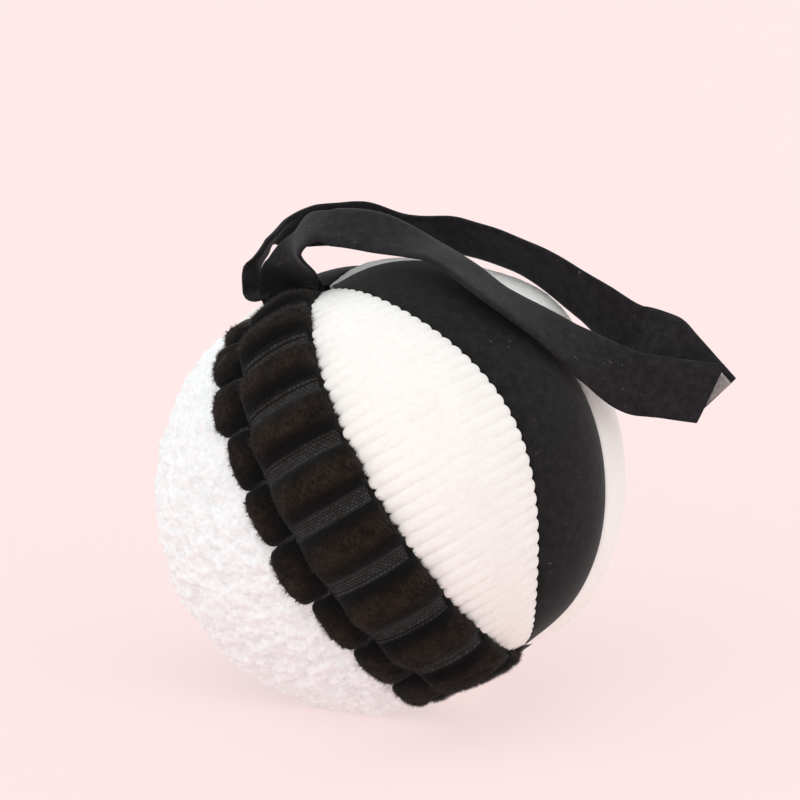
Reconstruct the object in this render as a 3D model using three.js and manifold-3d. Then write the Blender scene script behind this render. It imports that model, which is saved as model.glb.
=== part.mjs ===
// Soft contrast ball for babies: eight sewn fabric panels over a filling core, and a
// strap loop of two strips that leaves a slit at the upper pole and closes with a
// hook tape and a loop tape. Millimetres, +Z up, the front faces -Y.
import * as THREE from "three";
import { mergeVertices } from "three/addons/utils/BufferGeometryUtils.js";
import Module from "manifold-3d";

// Ball: an ellipsoid through the seams, lying with its poles tilted.
const SEAM_RADIUS = 57.2;
const SEAM_HALF_HEIGHT = 55.2;
const LEAN_LEFT_DEG = 29.5;
const LEAN_BACK_DEG = 14.6;
const REST_FLAT_DEPTH = 1.0;

// Panels: cloth thickness, swell between the seams, and gaps where pieces meet.
const CLOTH_THICKNESS = 2.0;
const CROWN_HEIGHT = 2.2;
const CROWN_FULL_WIDTH = 26;
const CROWN_POWER = 0.7;
const SEAM_GAP = 0.3;
const CORE_GAP = 0.8;
const LOWER_SLIT_HALF = 0.8;
const PANEL_COLUMNS = 8;
const PANEL_ROWS = 18;
const CORE_ROWS = 20;
const MERGE_DISTANCE = 1e-3;

// Poles: the panels end round a short slit, ahead of the ball's own axis and drawn in.
const SLIT_FORWARD = 17.4;
const SLIT_RIGHT = 2.8;
const POLE_DIP = 3;
const POLE_DIP_SPREAD = 15;

// Ridged plush: puffed ridges across the panel, bare channels between them and a
// rolled lip over the neighbouring panel.
const RIDGE_COUNT = 10;
const RIDGE_HEIGHT = 2.8;
const CHANNEL_HEIGHT = 0.5;
const CHANNEL_SHARE = 0.2;
const LIP_REACH = 6.5;
const LIP_CHANNEL_REACH = 3.6;
const LIP_CLEARANCE = 0.5;
const RIDGE_FADE = 9;
const RIDGE_ROUNDNESS = 0.45;
const RIDGE_PHASES = [0.28, 0.5, 0.72];
// Section of the lip, as shares of its reach and of the ridge's height.
const LIP_SECTION = [
  [0.45, 0],
  [0.85, 0.2],
  [1, 0.55],
  [0.75, 0.95],
  [0.3, 1.05],
];
// Section of the ridge from the lip to the second seam, as shares of width and height.
const RIDGE_SECTION = [
  [0.06, 1.05],
  [0.2, 1],
  [0.4, 1],
  [0.6, 1],
  [0.8, 0.95],
  [0.94, 0.65],
  [1, 0.25],
];

// Strap: folded cotton band, its sewn end in the slit and its closure.
const STRAP_WIDTH = 15;
const STRAP_THICKNESS = 1.6;
const STRAP_EDGE = 0.8;
const STRAP_LAYER_GAP = 1.2;
const SLIT_CLEARANCE = 0.5;
const SEWN_END_RISE = 1.0;
const SEWN_END_LIFT = 0.4;
const STUB_GAP = 0.35;
const FOLD_LEAD = 1.5;
const STRIP_STEPS = 34;
const STUB_STEPS = 14;
const STUB_LEAD = 1.2;
const SEWN_STEPS = 2;
const TAPE_WIDTH = 12;
const TAPE_THICKNESS = 1.0;
const TAPE_LENGTH = 14;
const TAPE_GAP = 0.4;
const TAPE_STEPS = 4;
const CLOSURE_HALF = 7.5;
const CLOSURE_LEAD = 3.5;
const CLOSURE_TURN_DEG = 40;
const CLOSURE_SHIFT = 5;

const FRONT = -1;
const BACK = 1;
const LEFT = -1;
const RIGHT = 1;

// Seams in order round the ball: bearing at the equator from the front towards +X, and
// the end of the pole slits that each one runs to.
const SEAMS = [
  { bearing: -26, end: LEFT },
  { bearing: -4, end: RIGHT },
  { bearing: 35, end: RIGHT },
  { bearing: 66, end: RIGHT },
  { bearing: 128, end: RIGHT },
  { bearing: 166, end: LEFT },
  { bearing: 208, end: LEFT },
  { bearing: 250, end: LEFT },
];

// Panels between one seam and the next, in the same order.
const PANELS = [
  { name: "panel_black_ridged_plush", color: 0x1d1717, roughness: 0.9 },
  { name: "panel_white_corduroy", color: 0xfaf2ee, roughness: 0.95 },
  { name: "panel_black_cotton", color: 0x2e2b2c, roughness: 0.9 },
  { name: "panel_white_velour", color: 0xf2e7e3, roughness: 0.95 },
  { name: "panel_black_cotton_side", color: 0x2e2b2c, roughness: 0.9 },
  { name: "panel_white_corduroy_rear", color: 0xfaf2ee, roughness: 0.95 },
  { name: "panel_black_cotton_base", color: 0x2e2b2c, roughness: 0.9 },
  { name: "panel_white_terry", color: 0xf3edef, roughness: 1.0 },
];
const FILLING_COLOR = 0xefeeea;
const STRAP_COLOR = 0x2a2829;
const TAPE_COLOR = 0xa8a19e;
const RIDGED = 0;
const TERRY = PANELS.length - 1;
const BASE_PANEL = "panel_black_cotton_base";

// Strap routes from the fold line above the slit to the closure. Each station is a
// bearing from the front, a rise above level and a height over the seam radius, with
// the direction across the band from its left edge at the slit to its right edge.
const FOLD_AT = [-80, 63, 4.4];
const FOLD_ACROSS = [0.8, 0.46, 0.37];
const FRONT_ROUTE = [
  { at: [-71, 67, 8.4], across: [0.45, 0.85, 0.2] },
  { at: [-63, 72, 11.4], across: [-0.25, 0.95, 0.21] },
  { at: [-51, 76, 10.5], across: [-0.18, 0.85, 0.49] },
  { at: [-17, 80, 9.1], across: [-0.15, 0.81, 0.56] },
  { at: [41, 72, 6.2], across: [0.0, 0.92, 0.4] },
  { at: [54, 56, 5.0], across: [0.0, 0.9, 0.45] },
  { at: [61, 44, 5.2], across: [-0.03, 0.83, 0.56] },
  { at: [67, 33, 8.0], across: [0.0, 0.63, 0.78] },
];
const REAR_ROUTE = [
  { at: [-95, 58, 6.4], across: [0.33, 0.9, 0.28] },
  { at: [-98, 61, 10.4], across: [0.2, 0.93, 0.05] },
  { at: [-103, 66, 13.2], across: [-0.25, 0.8, -0.52] },
  { at: [-118, 72, 12.8], across: [-0.12, 0.63, -0.77] },
  { at: [-152, 78, 11.8], across: [-0.08, 0.6, -0.8] },
  { at: [155, 78, 9.6], across: [-0.06, 0.57, -0.82] },
  { at: [122, 71, 8.6], across: [-0.08, 0.54, -0.84] },
  { at: [101, 59, 8.5], across: [-0.12, 0.49, -0.86] },
  { at: [89, 44, 12.0], across: [-0.25, 0.32, -0.91] },
  { at: [83, 33, 19.1], across: [-0.41, 0.12, -0.91] },
];
const CLOSURE_AT = [76, 21, 20.7];
const CLOSURE_ALONG = [0.98, 0.1, -0.15];
const CLOSURE_ACROSS = [0.43, 0.21, 0.88];

const wasm = await Module();
wasm.setup();

const rad = THREE.MathUtils.degToRad;
const lerp = THREE.MathUtils.lerp;

// Removes repeated vertices and the triangles that collapse with them.
function closedGeometry(positions, triangles) {
  const loose = new THREE.BufferGeometry();
  loose.setAttribute("position", new THREE.Float32BufferAttribute(positions, 3));
  loose.setIndex(triangles);
  const merged = mergeVertices(loose, MERGE_DISTANCE);
  const kept = [];
  const index = merged.index.array;
  for (let i = 0; i < index.length; i += 3) {
    const [a, b, c] = [index[i], index[i + 1], index[i + 2]];
    if (a !== b && b !== c && c !== a) kept.push(a, b, c);
  }
  merged.setIndex(kept);
  merged.computeVertexNormals();
  return merged;
}

function solidOf(geometry) {
  const bare = new THREE.BufferGeometry();
  bare.setAttribute("position", geometry.getAttribute("position"));
  bare.setIndex(geometry.index);
  const merged = mergeVertices(bare, MERGE_DISTANCE);
  return new wasm.Manifold(
    new wasm.Mesh({
      numProp: 3,
      vertProperties: merged.getAttribute("position").array,
      triVerts: new Uint32Array(merged.index.array),
    }),
  );
}

function geometryOf(solid) {
  const mesh = solid.getMesh();
  return closedGeometry(Array.from(mesh.vertProperties), Array.from(mesh.triVerts));
}

// Closed body between an outer and an inner grid of points, rows down and columns right.
function layeredBody(outer, inner) {
  const rows = outer.length;
  const columns = outer[0].length;
  const positions = [...outer, ...inner].flat().flatMap((p) => p.toArray());
  const triangles = [];
  const out = (j, i) => j * columns + i;
  const inn = (j, i) => (rows + j) * columns + i;
  const quad = (a, b, c, d) => triangles.push(a, d, c, a, c, b);
  for (let j = 0; j < rows - 1; j++) {
    for (let i = 0; i < columns - 1; i++) {
      quad(out(j, i), out(j, i + 1), out(j + 1, i + 1), out(j + 1, i));
      quad(inn(j, i + 1), inn(j, i), inn(j + 1, i), inn(j + 1, i + 1));
    }
    quad(inn(j, 0), out(j, 0), out(j + 1, 0), inn(j + 1, 0));
    quad(out(j, columns - 1), inn(j, columns - 1), inn(j + 1, columns - 1), out(j + 1, columns - 1));
  }
  for (let i = 0; i < columns - 1; i++) {
    quad(inn(0, i), inn(0, i + 1), out(0, i + 1), out(0, i));
    quad(out(rows - 1, i), out(rows - 1, i + 1), inn(rows - 1, i + 1), inn(rows - 1, i));
  }
  return closedGeometry(positions, triangles);
}

// Half the width of the upper slit: both strap layers, the gap between them and clearance.
const upperSlitHalf = STRAP_THICKNESS + STRAP_LAYER_GAP / 2 + SLIT_CLEARANCE;

// A gore is the ball between two seams. Points on it are given by the share across from
// its first seam and the turn from the upper pole (0) past the equator to the lower (PI).
function goreBetween(first, second) {
  const span = THREE.MathUtils.euclideanModulo(second.bearing - first.bearing, 360);
  return { first, second, span };
}

const slitEnd = (side) => SLIT_RIGHT + (side * STRAP_WIDTH) / 2;

function planOf(gore, share) {
  const bearing = rad(gore.first.bearing + gore.span * share);
  const endRight = lerp(slitEnd(gore.first.end), slitEnd(gore.second.end), share);
  const end = new THREE.Vector2(endRight, FRONT * SLIT_FORWARD);
  const rim = new THREE.Vector2(Math.sin(bearing), FRONT * Math.cos(bearing));
  const way = rim.multiplyScalar(SEAM_RADIUS).sub(end);
  return { end, way };
}

// Point and outward direction on the seam ellipsoid, sunk towards the poles.
function seatOn(gore, share, turn) {
  const { end, way } = planOf(gore, share);
  const reach = Math.sin(turn);
  const plan = way.clone().multiplyScalar(reach).add(end);
  const inside = Math.max(0, 1 - plan.lengthSq() / SEAM_RADIUS ** 2);
  const side = Math.cos(turn) < 0 ? -1 : 1;
  const height = side * SEAM_HALF_HEIGHT * Math.sqrt(inside);
  const near = Math.exp(-(((reach * way.length()) / POLE_DIP_SPREAD) ** 2));
  const sunk = height * (1 - (POLE_DIP / SEAM_HALF_HEIGHT) * near);
  const point = new THREE.Vector3(plan.x, plan.y, sunk);
  const outward = new THREE.Vector3(
    plan.x / SEAM_RADIUS ** 2,
    plan.y / SEAM_RADIUS ** 2,
    height / SEAM_HALF_HEIGHT ** 2,
  );
  return { point, outward: outward.normalize() };
}

const widthAt = (gore, turn) =>
  seatOn(gore, 0, turn).point.distanceTo(seatOn(gore, 1, turn).point);

// Height of the stuffed swell over the seam ellipsoid.
function crownAt(gore, share, turn) {
  const fromSlit = Math.sin(turn) * planOf(gore, share).way.length();
  const fullness = Math.min(1, Math.min(widthAt(gore, turn), fromSlit) / CROWN_FULL_WIDTH);
  const arch = Math.max(0, 4 * share * (1 - share)) ** CROWN_POWER;
  return CROWN_HEIGHT * fullness * arch;
}

function raised(gore, share, turn, height) {
  const { point, outward } = seatOn(gore, share, turn);
  return point.addScaledVector(outward, height);
}

// Turn at a share of the way from the upper slit's edge to the lower one's. A gore that
// ends on the slit's long side keeps clear of it squarely, a pointed one along its way.
function turnAt(gore, share, along) {
  const { way } = planOf(gore, share);
  const reach = gore.first.end === gore.second.end ? way.length() : Math.abs(way.y);
  const from = Math.asin(upperSlitHalf / reach);
  const to = Math.PI - Math.asin(LOWER_SLIT_HALF / reach);
  return lerp(from, to, along);
}

// Moves a share in from both seams by half of the seam gap.
function insetShare(gore, share, along) {
  const turn = turnAt(gore, share, along);
  const inset = SEAM_GAP / 2 / widthAt(gore, turn);
  return lerp(inset, 1 - inset, share);
}

function plainPanel(gore) {
  const outer = [];
  const inner = [];
  for (let j = 0; j <= PANEL_ROWS; j++) {
    const along = j / PANEL_ROWS;
    const columns = Array.from({ length: PANEL_COLUMNS + 1 }, (_, i) => {
      const share = insetShare(gore, i / PANEL_COLUMNS, along);
      const turn = turnAt(gore, share, along);
      return { share, turn, crown: crownAt(gore, share, turn) };
    });
    outer.push(columns.map((c) => raised(gore, c.share, c.turn, c.crown)));
    inner.push(columns.map((c) => raised(gore, c.share, c.turn, c.crown - CLOTH_THICKNESS)));
  }
  return layeredBody(outer, inner);
}

// Shares along the ridged panel: the middle and edges of each channel and ridge.
function ridgeStations() {
  const edge = CHANNEL_SHARE / 2;
  const phases = [0, edge, ...RIDGE_PHASES, 1 - edge];
  const stations = [];
  for (let ridge = 0; ridge < RIDGE_COUNT; ridge++) {
    stations.push(...phases.map((phase) => ({ along: (ridge + phase) / RIDGE_COUNT, phase })));
  }
  stations.push({ along: 1, phase: 0 });
  return stations;
}

// Ridged panel: its section rolls over the neighbour at the first seam as a lip, rises to
// the ridge and falls to the second seam. Ridges and lip fade out towards both slits.
function ridgedPanel(gore, neighbour) {
  const outer = [];
  const inner = [];
  for (const { along, phase } of ridgeStations()) {
    const turn = turnAt(gore, 0.5, along);
    const middle = seatOn(gore, 0.5, turn).point;
    const toEnd = Math.min(
      middle.distanceTo(seatOn(gore, 0.5, turnAt(gore, 0.5, 0)).point),
      middle.distanceTo(seatOn(gore, 0.5, turnAt(gore, 0.5, 1)).point),
    );
    const fade = THREE.MathUtils.smoothstep(toEnd, 0, RIDGE_FADE);
    const edge = CHANNEL_SHARE / 2;
    const inRidge = THREE.MathUtils.clamp((phase - edge) / (1 - CHANNEL_SHARE), 0, 1);
    const bump = phase === 0 ? 0 : Math.sin(Math.PI * inRidge) ** RIDGE_ROUNDNESS;
    const top = CHANNEL_HEIGHT + RIDGE_HEIGHT * bump * fade;
    const lip = lerp(LIP_CHANNEL_REACH, LIP_REACH, bump) * fade;
    const overNeighbour = (reach, rise) => {
      const share = 1 - (lip * reach) / widthAt(neighbour, turn);
      const floor = crownAt(neighbour, share, turn) + LIP_CLEARANCE;
      return raised(neighbour, share, turn, floor + rise * top);
    };
    const row = [raised(gore, insetShare(gore, 0, along), turn, LIP_CLEARANCE / 2)];
    row.push(...LIP_SECTION.map(([reach, rise]) => overNeighbour(reach, rise)));
    for (const [share, rise] of RIDGE_SECTION) {
      const at = insetShare(gore, share, along);
      row.push(raised(gore, at, turn, crownAt(gore, at, turn) + top * rise));
    }
    outer.push(row);
    inner.push(
      row.map((_, i) => {
        const at = insetShare(gore, i / (row.length - 1), along);
        return raised(gore, at, turn, crownAt(gore, at, turn) - CLOTH_THICKNESS);
      }),
    );
  }
  return layeredBody(outer, inner);
}

// Filling core: every gore's inner face, closed at the slits, a gap inside the cloth.
function fillingCore(gores) {
  const positions = [];
  const triangles = [];
  for (const gore of gores) {
    const first = positions.length / 3;
    const rows = Array.from({ length: CORE_ROWS + 1 }, (_, j) => {
      const turn = (Math.PI * j) / CORE_ROWS;
      return Array.from({ length: PANEL_COLUMNS + 1 }, (__, i) => {
        const share = i / PANEL_COLUMNS;
        const crown = crownAt(gore, share, turn);
        return raised(gore, share, turn, crown - CLOTH_THICKNESS - CORE_GAP);
      });
    });
    positions.push(...rows.flat().flatMap((p) => p.toArray()));
    const at = (j, i) => first + j * (PANEL_COLUMNS + 1) + i;
    for (let j = 0; j < rows.length - 1; j++) {
      for (let i = 0; i < PANEL_COLUMNS; i++) {
        triangles.push(at(j, i), at(j + 1, i), at(j + 1, i + 1));
        triangles.push(at(j, i), at(j + 1, i + 1), at(j, i + 1));
      }
    }
  }
  return closedGeometry(positions, triangles);
}

// Band along stations of a point and a direction across, with thinned edges, shifted to
// one side of its stations as a layer of a stack.
function band(stations, steps, width, thickness, edge, layer = 0) {
  const path = new THREE.CatmullRomCurve3(stations.map((s) => s.point));
  const lean = new THREE.CatmullRomCurve3(stations.map((s) => s.across));
  const half = width / 2;
  const section = [
    [-half, 0],
    [-half + edge, thickness / 2],
    [half - edge, thickness / 2],
    [half, 0],
    [half - edge, -thickness / 2],
    [-half + edge, -thickness / 2],
  ];
  const positions = [];
  for (let k = 0; k <= steps; k++) {
    const way = path.getUtoTmapping(k / steps);
    const point = path.getPoint(way);
    const tangent = path.getTangent(way);
    const across = lean.getPoint(way);
    across.addScaledVector(tangent, -across.dot(tangent)).normalize();
    const face = new THREE.Vector3().crossVectors(tangent, across);
    for (const [w, t] of section) {
      const corner = point.clone().addScaledVector(across, w).addScaledVector(face, t + layer);
      positions.push(...corner.toArray());
    }
  }
  const triangles = [];
  const count = section.length;
  const at = (k, i) => k * count + (i % count);
  for (let k = 0; k < steps; k++) {
    for (let i = 0; i < count; i++) {
      triangles.push(at(k, i), at(k, i + 1), at(k + 1, i + 1));
      triangles.push(at(k, i), at(k + 1, i + 1), at(k + 1, i));
    }
  }
  for (let i = 1; i < count - 1; i++) {
    triangles.push(at(0, 0), at(0, i + 1), at(0, i));
    triangles.push(at(steps, 0), at(steps, i), at(steps, i + 1));
  }
  const geometry = closedGeometry(positions, triangles);
  if (solidOf(geometry).volume() < 0) geometry.index.array.reverse();
  return geometry;
}

const cloth = (color, roughness) =>
  new THREE.MeshStandardMaterial({ color, roughness, metalness: 0 });

function named(name, geometry, material) {
  const mesh = new THREE.Mesh(geometry, material);
  mesh.name = name;
  return mesh;
}

// Ball: panels and core in the ball's own frame, its axis along Z before it leans.
const gores = SEAMS.map((seam, i) => goreBetween(seam, SEAMS[(i + 1) % SEAMS.length]));
const ball = new THREE.Group();
ball.rotation.set(-rad(LEAN_BACK_DEG), -rad(LEAN_LEFT_DEG), 0);
const panels = gores.map((gore, i) => {
  const geometry = i === RIDGED ? ridgedPanel(gore, gores[TERRY]) : plainPanel(gore);
  return named(PANELS[i].name, geometry, cloth(PANELS[i].color, PANELS[i].roughness));
});
ball.add(...panels);
ball.add(named("filling_core", fillingCore(gores), cloth(FILLING_COLOR, 1.0)));

// The ball sags flat where it rests: its lowest panel is cut level by the flat's depth.
ball.updateMatrixWorld(true);
const lowest = Math.min(
  ...panels.map((panel) => new THREE.Box3().setFromObject(panel, true).min.z),
);
const centreHeight = -lowest - REST_FLAT_DEPTH;
ball.position.z = centreHeight;
ball.updateMatrixWorld(true);
const basePanel = panels.find((panel) => panel.name === BASE_PANEL);
const floorSide = 4 * SEAM_RADIUS;
const below = new THREE.BoxGeometry(floorSide, floorSide, SEAM_RADIUS);
below.translate(0, 0, -SEAM_RADIUS / 2);
below.applyMatrix4(ball.matrixWorld.clone().invert());
below.deleteAttribute("normal");
below.deleteAttribute("uv");
basePanel.geometry = geometryOf(solidOf(basePanel.geometry).subtract(solidOf(below)));

// Strap: placed from the ball's centre, in the part's upright axes.
const strap = new THREE.Group();
strap.position.z = centreHeight;
const strapCloth = cloth(STRAP_COLOR, 0.9);
const tapeCloth = cloth(TAPE_COLOR, 0.85);
const vector = (list) => new THREE.Vector3(...list).normalize();

function overBall([bearing, rise, height]) {
  const out = SEAM_RADIUS + height;
  const level = Math.cos(rad(rise)) * out;
  return new THREE.Vector3(
    level * Math.sin(rad(bearing)),
    FRONT * level * Math.cos(rad(bearing)),
    out * Math.sin(rad(rise)),
  );
}

// Frame of the upper slit: its middle, the way out of it, and the way along it.
const slitGore = gores[RIDGED];
const slitSeat = seatOn(slitGore, 0.5, 0);
const turned = new THREE.Matrix4().makeRotationFromEuler(ball.rotation);
const slitMiddle = slitSeat.point.applyMatrix4(turned);
const slitOut = slitSeat.outward.transformDirection(turned);
const slitAlong = new THREE.Vector3(1, 0, 0).transformDirection(turned);
slitAlong.addScaledVector(slitOut, -slitAlong.dot(slitOut)).normalize();
const atSlit = (out) => slitMiddle.clone().addScaledVector(slitOut, out);

const sewnFrom = SEWN_END_LIFT - CLOTH_THICKNESS;
const sewnThickness = 2 * STRAP_THICKNESS + STRAP_LAYER_GAP;
const sewnStations = [sewnFrom, SEWN_END_RISE].map((out) => ({
  point: atSlit(out),
  across: slitAlong.clone(),
}));
const sewnEnd = band(sewnStations, SEWN_STEPS, STRAP_WIDTH, sewnThickness, STRAP_EDGE);
strap.add(named("strap_sewn_end", sewnEnd, strapCloth));

// Fold line: the stubs of both layers end under it and the strips start on it, stacked
// across the way up from the slit.
const fold = overBall(FOLD_AT);
const foldUp = fold.clone().sub(atSlit(SEWN_END_RISE)).normalize();
const foldAcross = vector(FOLD_ACROSS);
foldAcross.addScaledVector(foldUp, -foldAcross.dot(foldUp)).normalize();
const foldBack = new THREE.Vector3().crossVectors(foldUp, foldAcross);
const layerOffset = (side) => (side * (STRAP_THICKNESS + STRAP_LAYER_GAP)) / 2;

function stripStations(route, side) {
  const start = fold.clone().addScaledVector(foldBack, layerOffset(side));
  const lead = start.clone().addScaledVector(foldUp, FOLD_LEAD);
  return [
    { point: start, across: foldAcross.clone() },
    { point: lead, across: foldAcross.clone() },
    ...route.map((s) => ({ point: overBall(s.at), across: vector(s.across) })),
  ];
}
const frontStations = stripStations(FRONT_ROUTE, FRONT);
const rearStations = stripStations(REAR_ROUTE, BACK);

// Closure: both strips end flat on the two tapes, the rear strip turned in their plane.
const closureMiddle = overBall(CLOSURE_AT);
const closureAlong = vector(CLOSURE_ALONG);
const closureAcross = vector(CLOSURE_ACROSS);
closureAcross.addScaledVector(closureAlong, -closureAcross.dot(closureAlong)).normalize();
const closureBack = new THREE.Vector3().crossVectors(closureAcross, closureAlong);
const closureTurn = rad(CLOSURE_TURN_DEG);
const rearAlong = closureAlong.clone().multiplyScalar(Math.cos(closureTurn));
rearAlong.addScaledVector(closureAcross, -Math.sin(closureTurn));
const rearAcross = closureAlong.clone().multiplyScalar(-Math.sin(closureTurn));
rearAcross.addScaledVector(closureAcross, -Math.cos(closureTurn));
const tapeDepth = (TAPE_THICKNESS + TAPE_GAP) / 2;
const stripDepth = tapeDepth + TAPE_THICKNESS / 2 + TAPE_GAP + STRAP_THICKNESS / 2;

function flatRun(along, across, side, depth, shift, steps) {
  const middle = closureMiddle.clone().addScaledVector(closureBack, side * depth);
  middle.addScaledVector(closureAlong, shift);
  return steps.map((step) => ({
    point: middle.clone().addScaledVector(along, step),
    across: across.clone(),
  }));
}

const stripSteps = [-CLOSURE_HALF - CLOSURE_LEAD, -CLOSURE_HALF, 0, CLOSURE_HALF];
frontStations.push(...flatRun(closureAlong, closureAcross, FRONT, stripDepth, 0, stripSteps));
rearStations.push(...flatRun(rearAlong, rearAcross, BACK, stripDepth, CLOSURE_SHIFT, stripSteps));

// Each stub rises from the slit, turning with the stack, to just under the fold line.
function addStrip(name, stations, side) {
  const belowFold = (drop) => fold.clone().addScaledVector(foldUp, -drop);
  const stub = [
    { point: atSlit(SEWN_END_RISE + STUB_GAP), across: slitAlong.clone() },
    { point: atSlit(SEWN_END_RISE + STUB_GAP + STUB_LEAD), across: slitAlong.clone() },
    { point: belowFold(STUB_GAP + STUB_LEAD), across: foldAcross.clone() },
    { point: belowFold(STUB_GAP), across: foldAcross.clone() },
  ];
  const size = [STRAP_WIDTH, STRAP_THICKNESS, STRAP_EDGE];
  const stubBand = band(stub, STUB_STEPS, ...size, layerOffset(side));
  strap.add(named("strap_stub_" + name, stubBand, strapCloth));
  strap.add(named("strap_" + name, band(stations, STRIP_STEPS, ...size), strapCloth));
}
addStrip("front", frontStations, FRONT);
addStrip("rear", rearStations, BACK);

const tapeSteps = [-TAPE_LENGTH / 2, 0, TAPE_LENGTH / 2];
const hookRun = flatRun(closureAlong, closureAcross, FRONT, tapeDepth, 0, tapeSteps);
const loopRun = flatRun(rearAlong, rearAcross, BACK, tapeDepth, CLOSURE_SHIFT, tapeSteps);
const tapeEdge = TAPE_THICKNESS / 2;
const tapeSize = [TAPE_STEPS, TAPE_WIDTH, TAPE_THICKNESS, tapeEdge];
strap.add(named("hook_tape", band(hookRun, ...tapeSize), tapeCloth));
strap.add(named("loop_tape", band(loopRun, ...tapeSize), tapeCloth));

const part = new THREE.Group();
part.add(ball, strap);

export default part;
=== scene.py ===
"""Soft contrast ball with a strap loop, dressed as cloth.

Stuffed panels of terry, ridged plush, corduroy, cotton and velour meet in seams that run
from a slit at the upper pole to one at the lower pole. A folded cotton strap leaves the
upper slit in two layers and closes with a hook tape and a loop tape. Metres, +Z up, the
front faces -Y.
"""
import itertools
import logging
import math
from dataclasses import dataclass
from enum import Enum

import bpy
import numpy as np
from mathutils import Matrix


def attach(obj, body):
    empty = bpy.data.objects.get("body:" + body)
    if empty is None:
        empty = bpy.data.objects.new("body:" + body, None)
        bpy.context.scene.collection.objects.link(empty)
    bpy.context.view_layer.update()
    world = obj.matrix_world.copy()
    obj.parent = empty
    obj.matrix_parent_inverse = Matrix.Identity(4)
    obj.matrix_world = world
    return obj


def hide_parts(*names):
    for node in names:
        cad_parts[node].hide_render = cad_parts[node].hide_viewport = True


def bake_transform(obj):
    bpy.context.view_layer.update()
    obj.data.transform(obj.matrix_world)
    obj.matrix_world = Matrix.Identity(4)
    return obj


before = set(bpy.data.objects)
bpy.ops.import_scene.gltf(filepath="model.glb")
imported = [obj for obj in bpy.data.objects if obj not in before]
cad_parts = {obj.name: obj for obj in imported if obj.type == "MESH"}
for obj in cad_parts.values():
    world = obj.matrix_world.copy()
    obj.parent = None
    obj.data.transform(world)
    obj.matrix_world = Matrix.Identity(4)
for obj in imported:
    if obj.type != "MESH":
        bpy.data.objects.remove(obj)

LOG = logging.getLogger("contrast_ball")
MM = 0.001
BALL_BODY = "ball"
# Vector on each vertex: millimetres across and along the cloth, and its share of pile, which on
# the ridged plush is also lowered as painted shade. On cotton the third value is painted shade:
# the share of light that reaches the cloth beside a fold.
CLOTH_ATTRIBUTE = "cloth_mm"
FULL_PILE = np.array((0.0, 0.0, 1.0))
NOISE_TABLE = 32
EQUAL_STEP = 1e-4
TANGENT_STEP = 1e-4
LEAST_WIDTH = 0.1 * MM
ROW_SAMPLES = 1500
PATH_SAMPLES = 1200
# Settings of a node that carries a value smoothly between limits, and of one that mixes colours.
SMOOTH = {"interpolation_type": "SMOOTHSTEP"}
COLOURS = {"data_type": "RGBA"}
# Settings of a node that reads where on the cloth a point lies.
ON_CLOTH = {"attribute_name": CLOTH_ATTRIBUTE}

Array = np.ndarray
Point = tuple[float, float, float]
Knots = tuple[tuple[float, float], ...]
Tree = bpy.types.NodeTree
Socket = bpy.types.NodeSocket


class SlitEnd(Enum):
    """End of the pole slits that a seam runs to."""

    LEFT = -1
    RIGHT = 1


class Layer(Enum):
    """Side of the strap's fold that a layer lies on."""

    FRONT = -1
    REAR = 1


def lattice_noise(points: Array, cell: float, seed: int) -> Array:
    """Smooth noise from -1 to 1: random values on a cubic lattice, blended by a quintic fade.

    Args:
        points: Positions, with the three axes last.
        cell: Spacing of the lattice, in the units of the points.
        seed: Seed of the random values.

    Returns:
        One value for each position.
    """
    table = np.random.default_rng(seed).uniform(-1, 1, (NOISE_TABLE,) * 3)
    grid = points / cell
    base = np.floor(grid).astype(int)
    part = grid - base
    fade = part**3 * (part * (part * 6 - 15) + 10)
    total = np.zeros(points.shape[:-1])
    for corner in itertools.product((0, 1), repeat=3):
        at = (base + corner) % NOISE_TABLE
        weight = np.prod(np.where(corner, fade, 1 - fade), axis=-1)
        total += weight * table[at[..., 0], at[..., 1], at[..., 2]]
    return total


def smooth_step(value: Array, low: float, high: float) -> Array:
    """Hermite step 3t^2 - 2t^3 of a value between two limits."""
    t = np.clip((value - low) / (high - low), 0, 1)
    return t * t * (3 - 2 * t)


def between(first: Array | float, second: Array | float, share: Array) -> Array:
    """Values at shares of the way from a first to a second one."""
    return first + (second - first) * share


def one_shape(first: Array | float, second: Array | float) -> list[Array]:
    """Two values as arrays of one shape."""
    return np.broadcast_arrays(np.asarray(first, float), np.asarray(second, float))


def unit(vectors: Array) -> Array:
    """Vectors divided by their lengths."""
    return vectors / np.maximum(np.linalg.norm(vectors, axis=-1, keepdims=True), 1e-12)


def square_to(vectors: Array, axis: Array) -> Array:
    """Unit vectors with their share along a unit axis taken out."""
    along = np.sum(vectors * axis, axis=-1, keepdims=True)
    return unit(vectors - along * axis)


def run_lengths(path: Array) -> Array:
    """Length along a path at each of its points."""
    return np.concatenate([[0], np.cumsum(np.linalg.norm(np.diff(path, axis=0), axis=1))])


def grid_normals(points: Array) -> Array:
    """Outward directions of a grid, from the cross product of its two gradients.

    Args:
        points: Grid of positions, rows down and columns right as seen from outside.

    Returns:
        Unit vectors, one for each position.
    """
    down = np.gradient(points, axis=0)
    right = np.gradient(points, axis=1)
    return unit(np.cross(down, right))


def loop_faces(rows: int, loop: int) -> Array:
    """Faces of a closed body swept from loops of points, both ends closed flat.

    Each side face joins neighbours of one loop to the same two of the next. An end is
    closed by joining point k to the point as far from the loop's other end.

    Args:
        rows: Number of loops.
        loop: Even number of points in a loop.

    Returns:
        Corner indices, four to a face.
    """
    j = np.arange(rows - 1)[:, None] * loop
    k = np.arange(loop)[None, :]
    after = (k + 1) % loop
    sides = np.stack([j + k, j + loop + k, j + loop + after, j + after], axis=-1)
    half = np.arange(loop // 2 - 1)
    cap = np.stack([half, half + 1, loop - 2 - half, loop - 1 - half], axis=-1)
    return np.concatenate([sides.reshape(-1, 4), cap, cap[:, ::-1] + (rows - 1) * loop])


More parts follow.
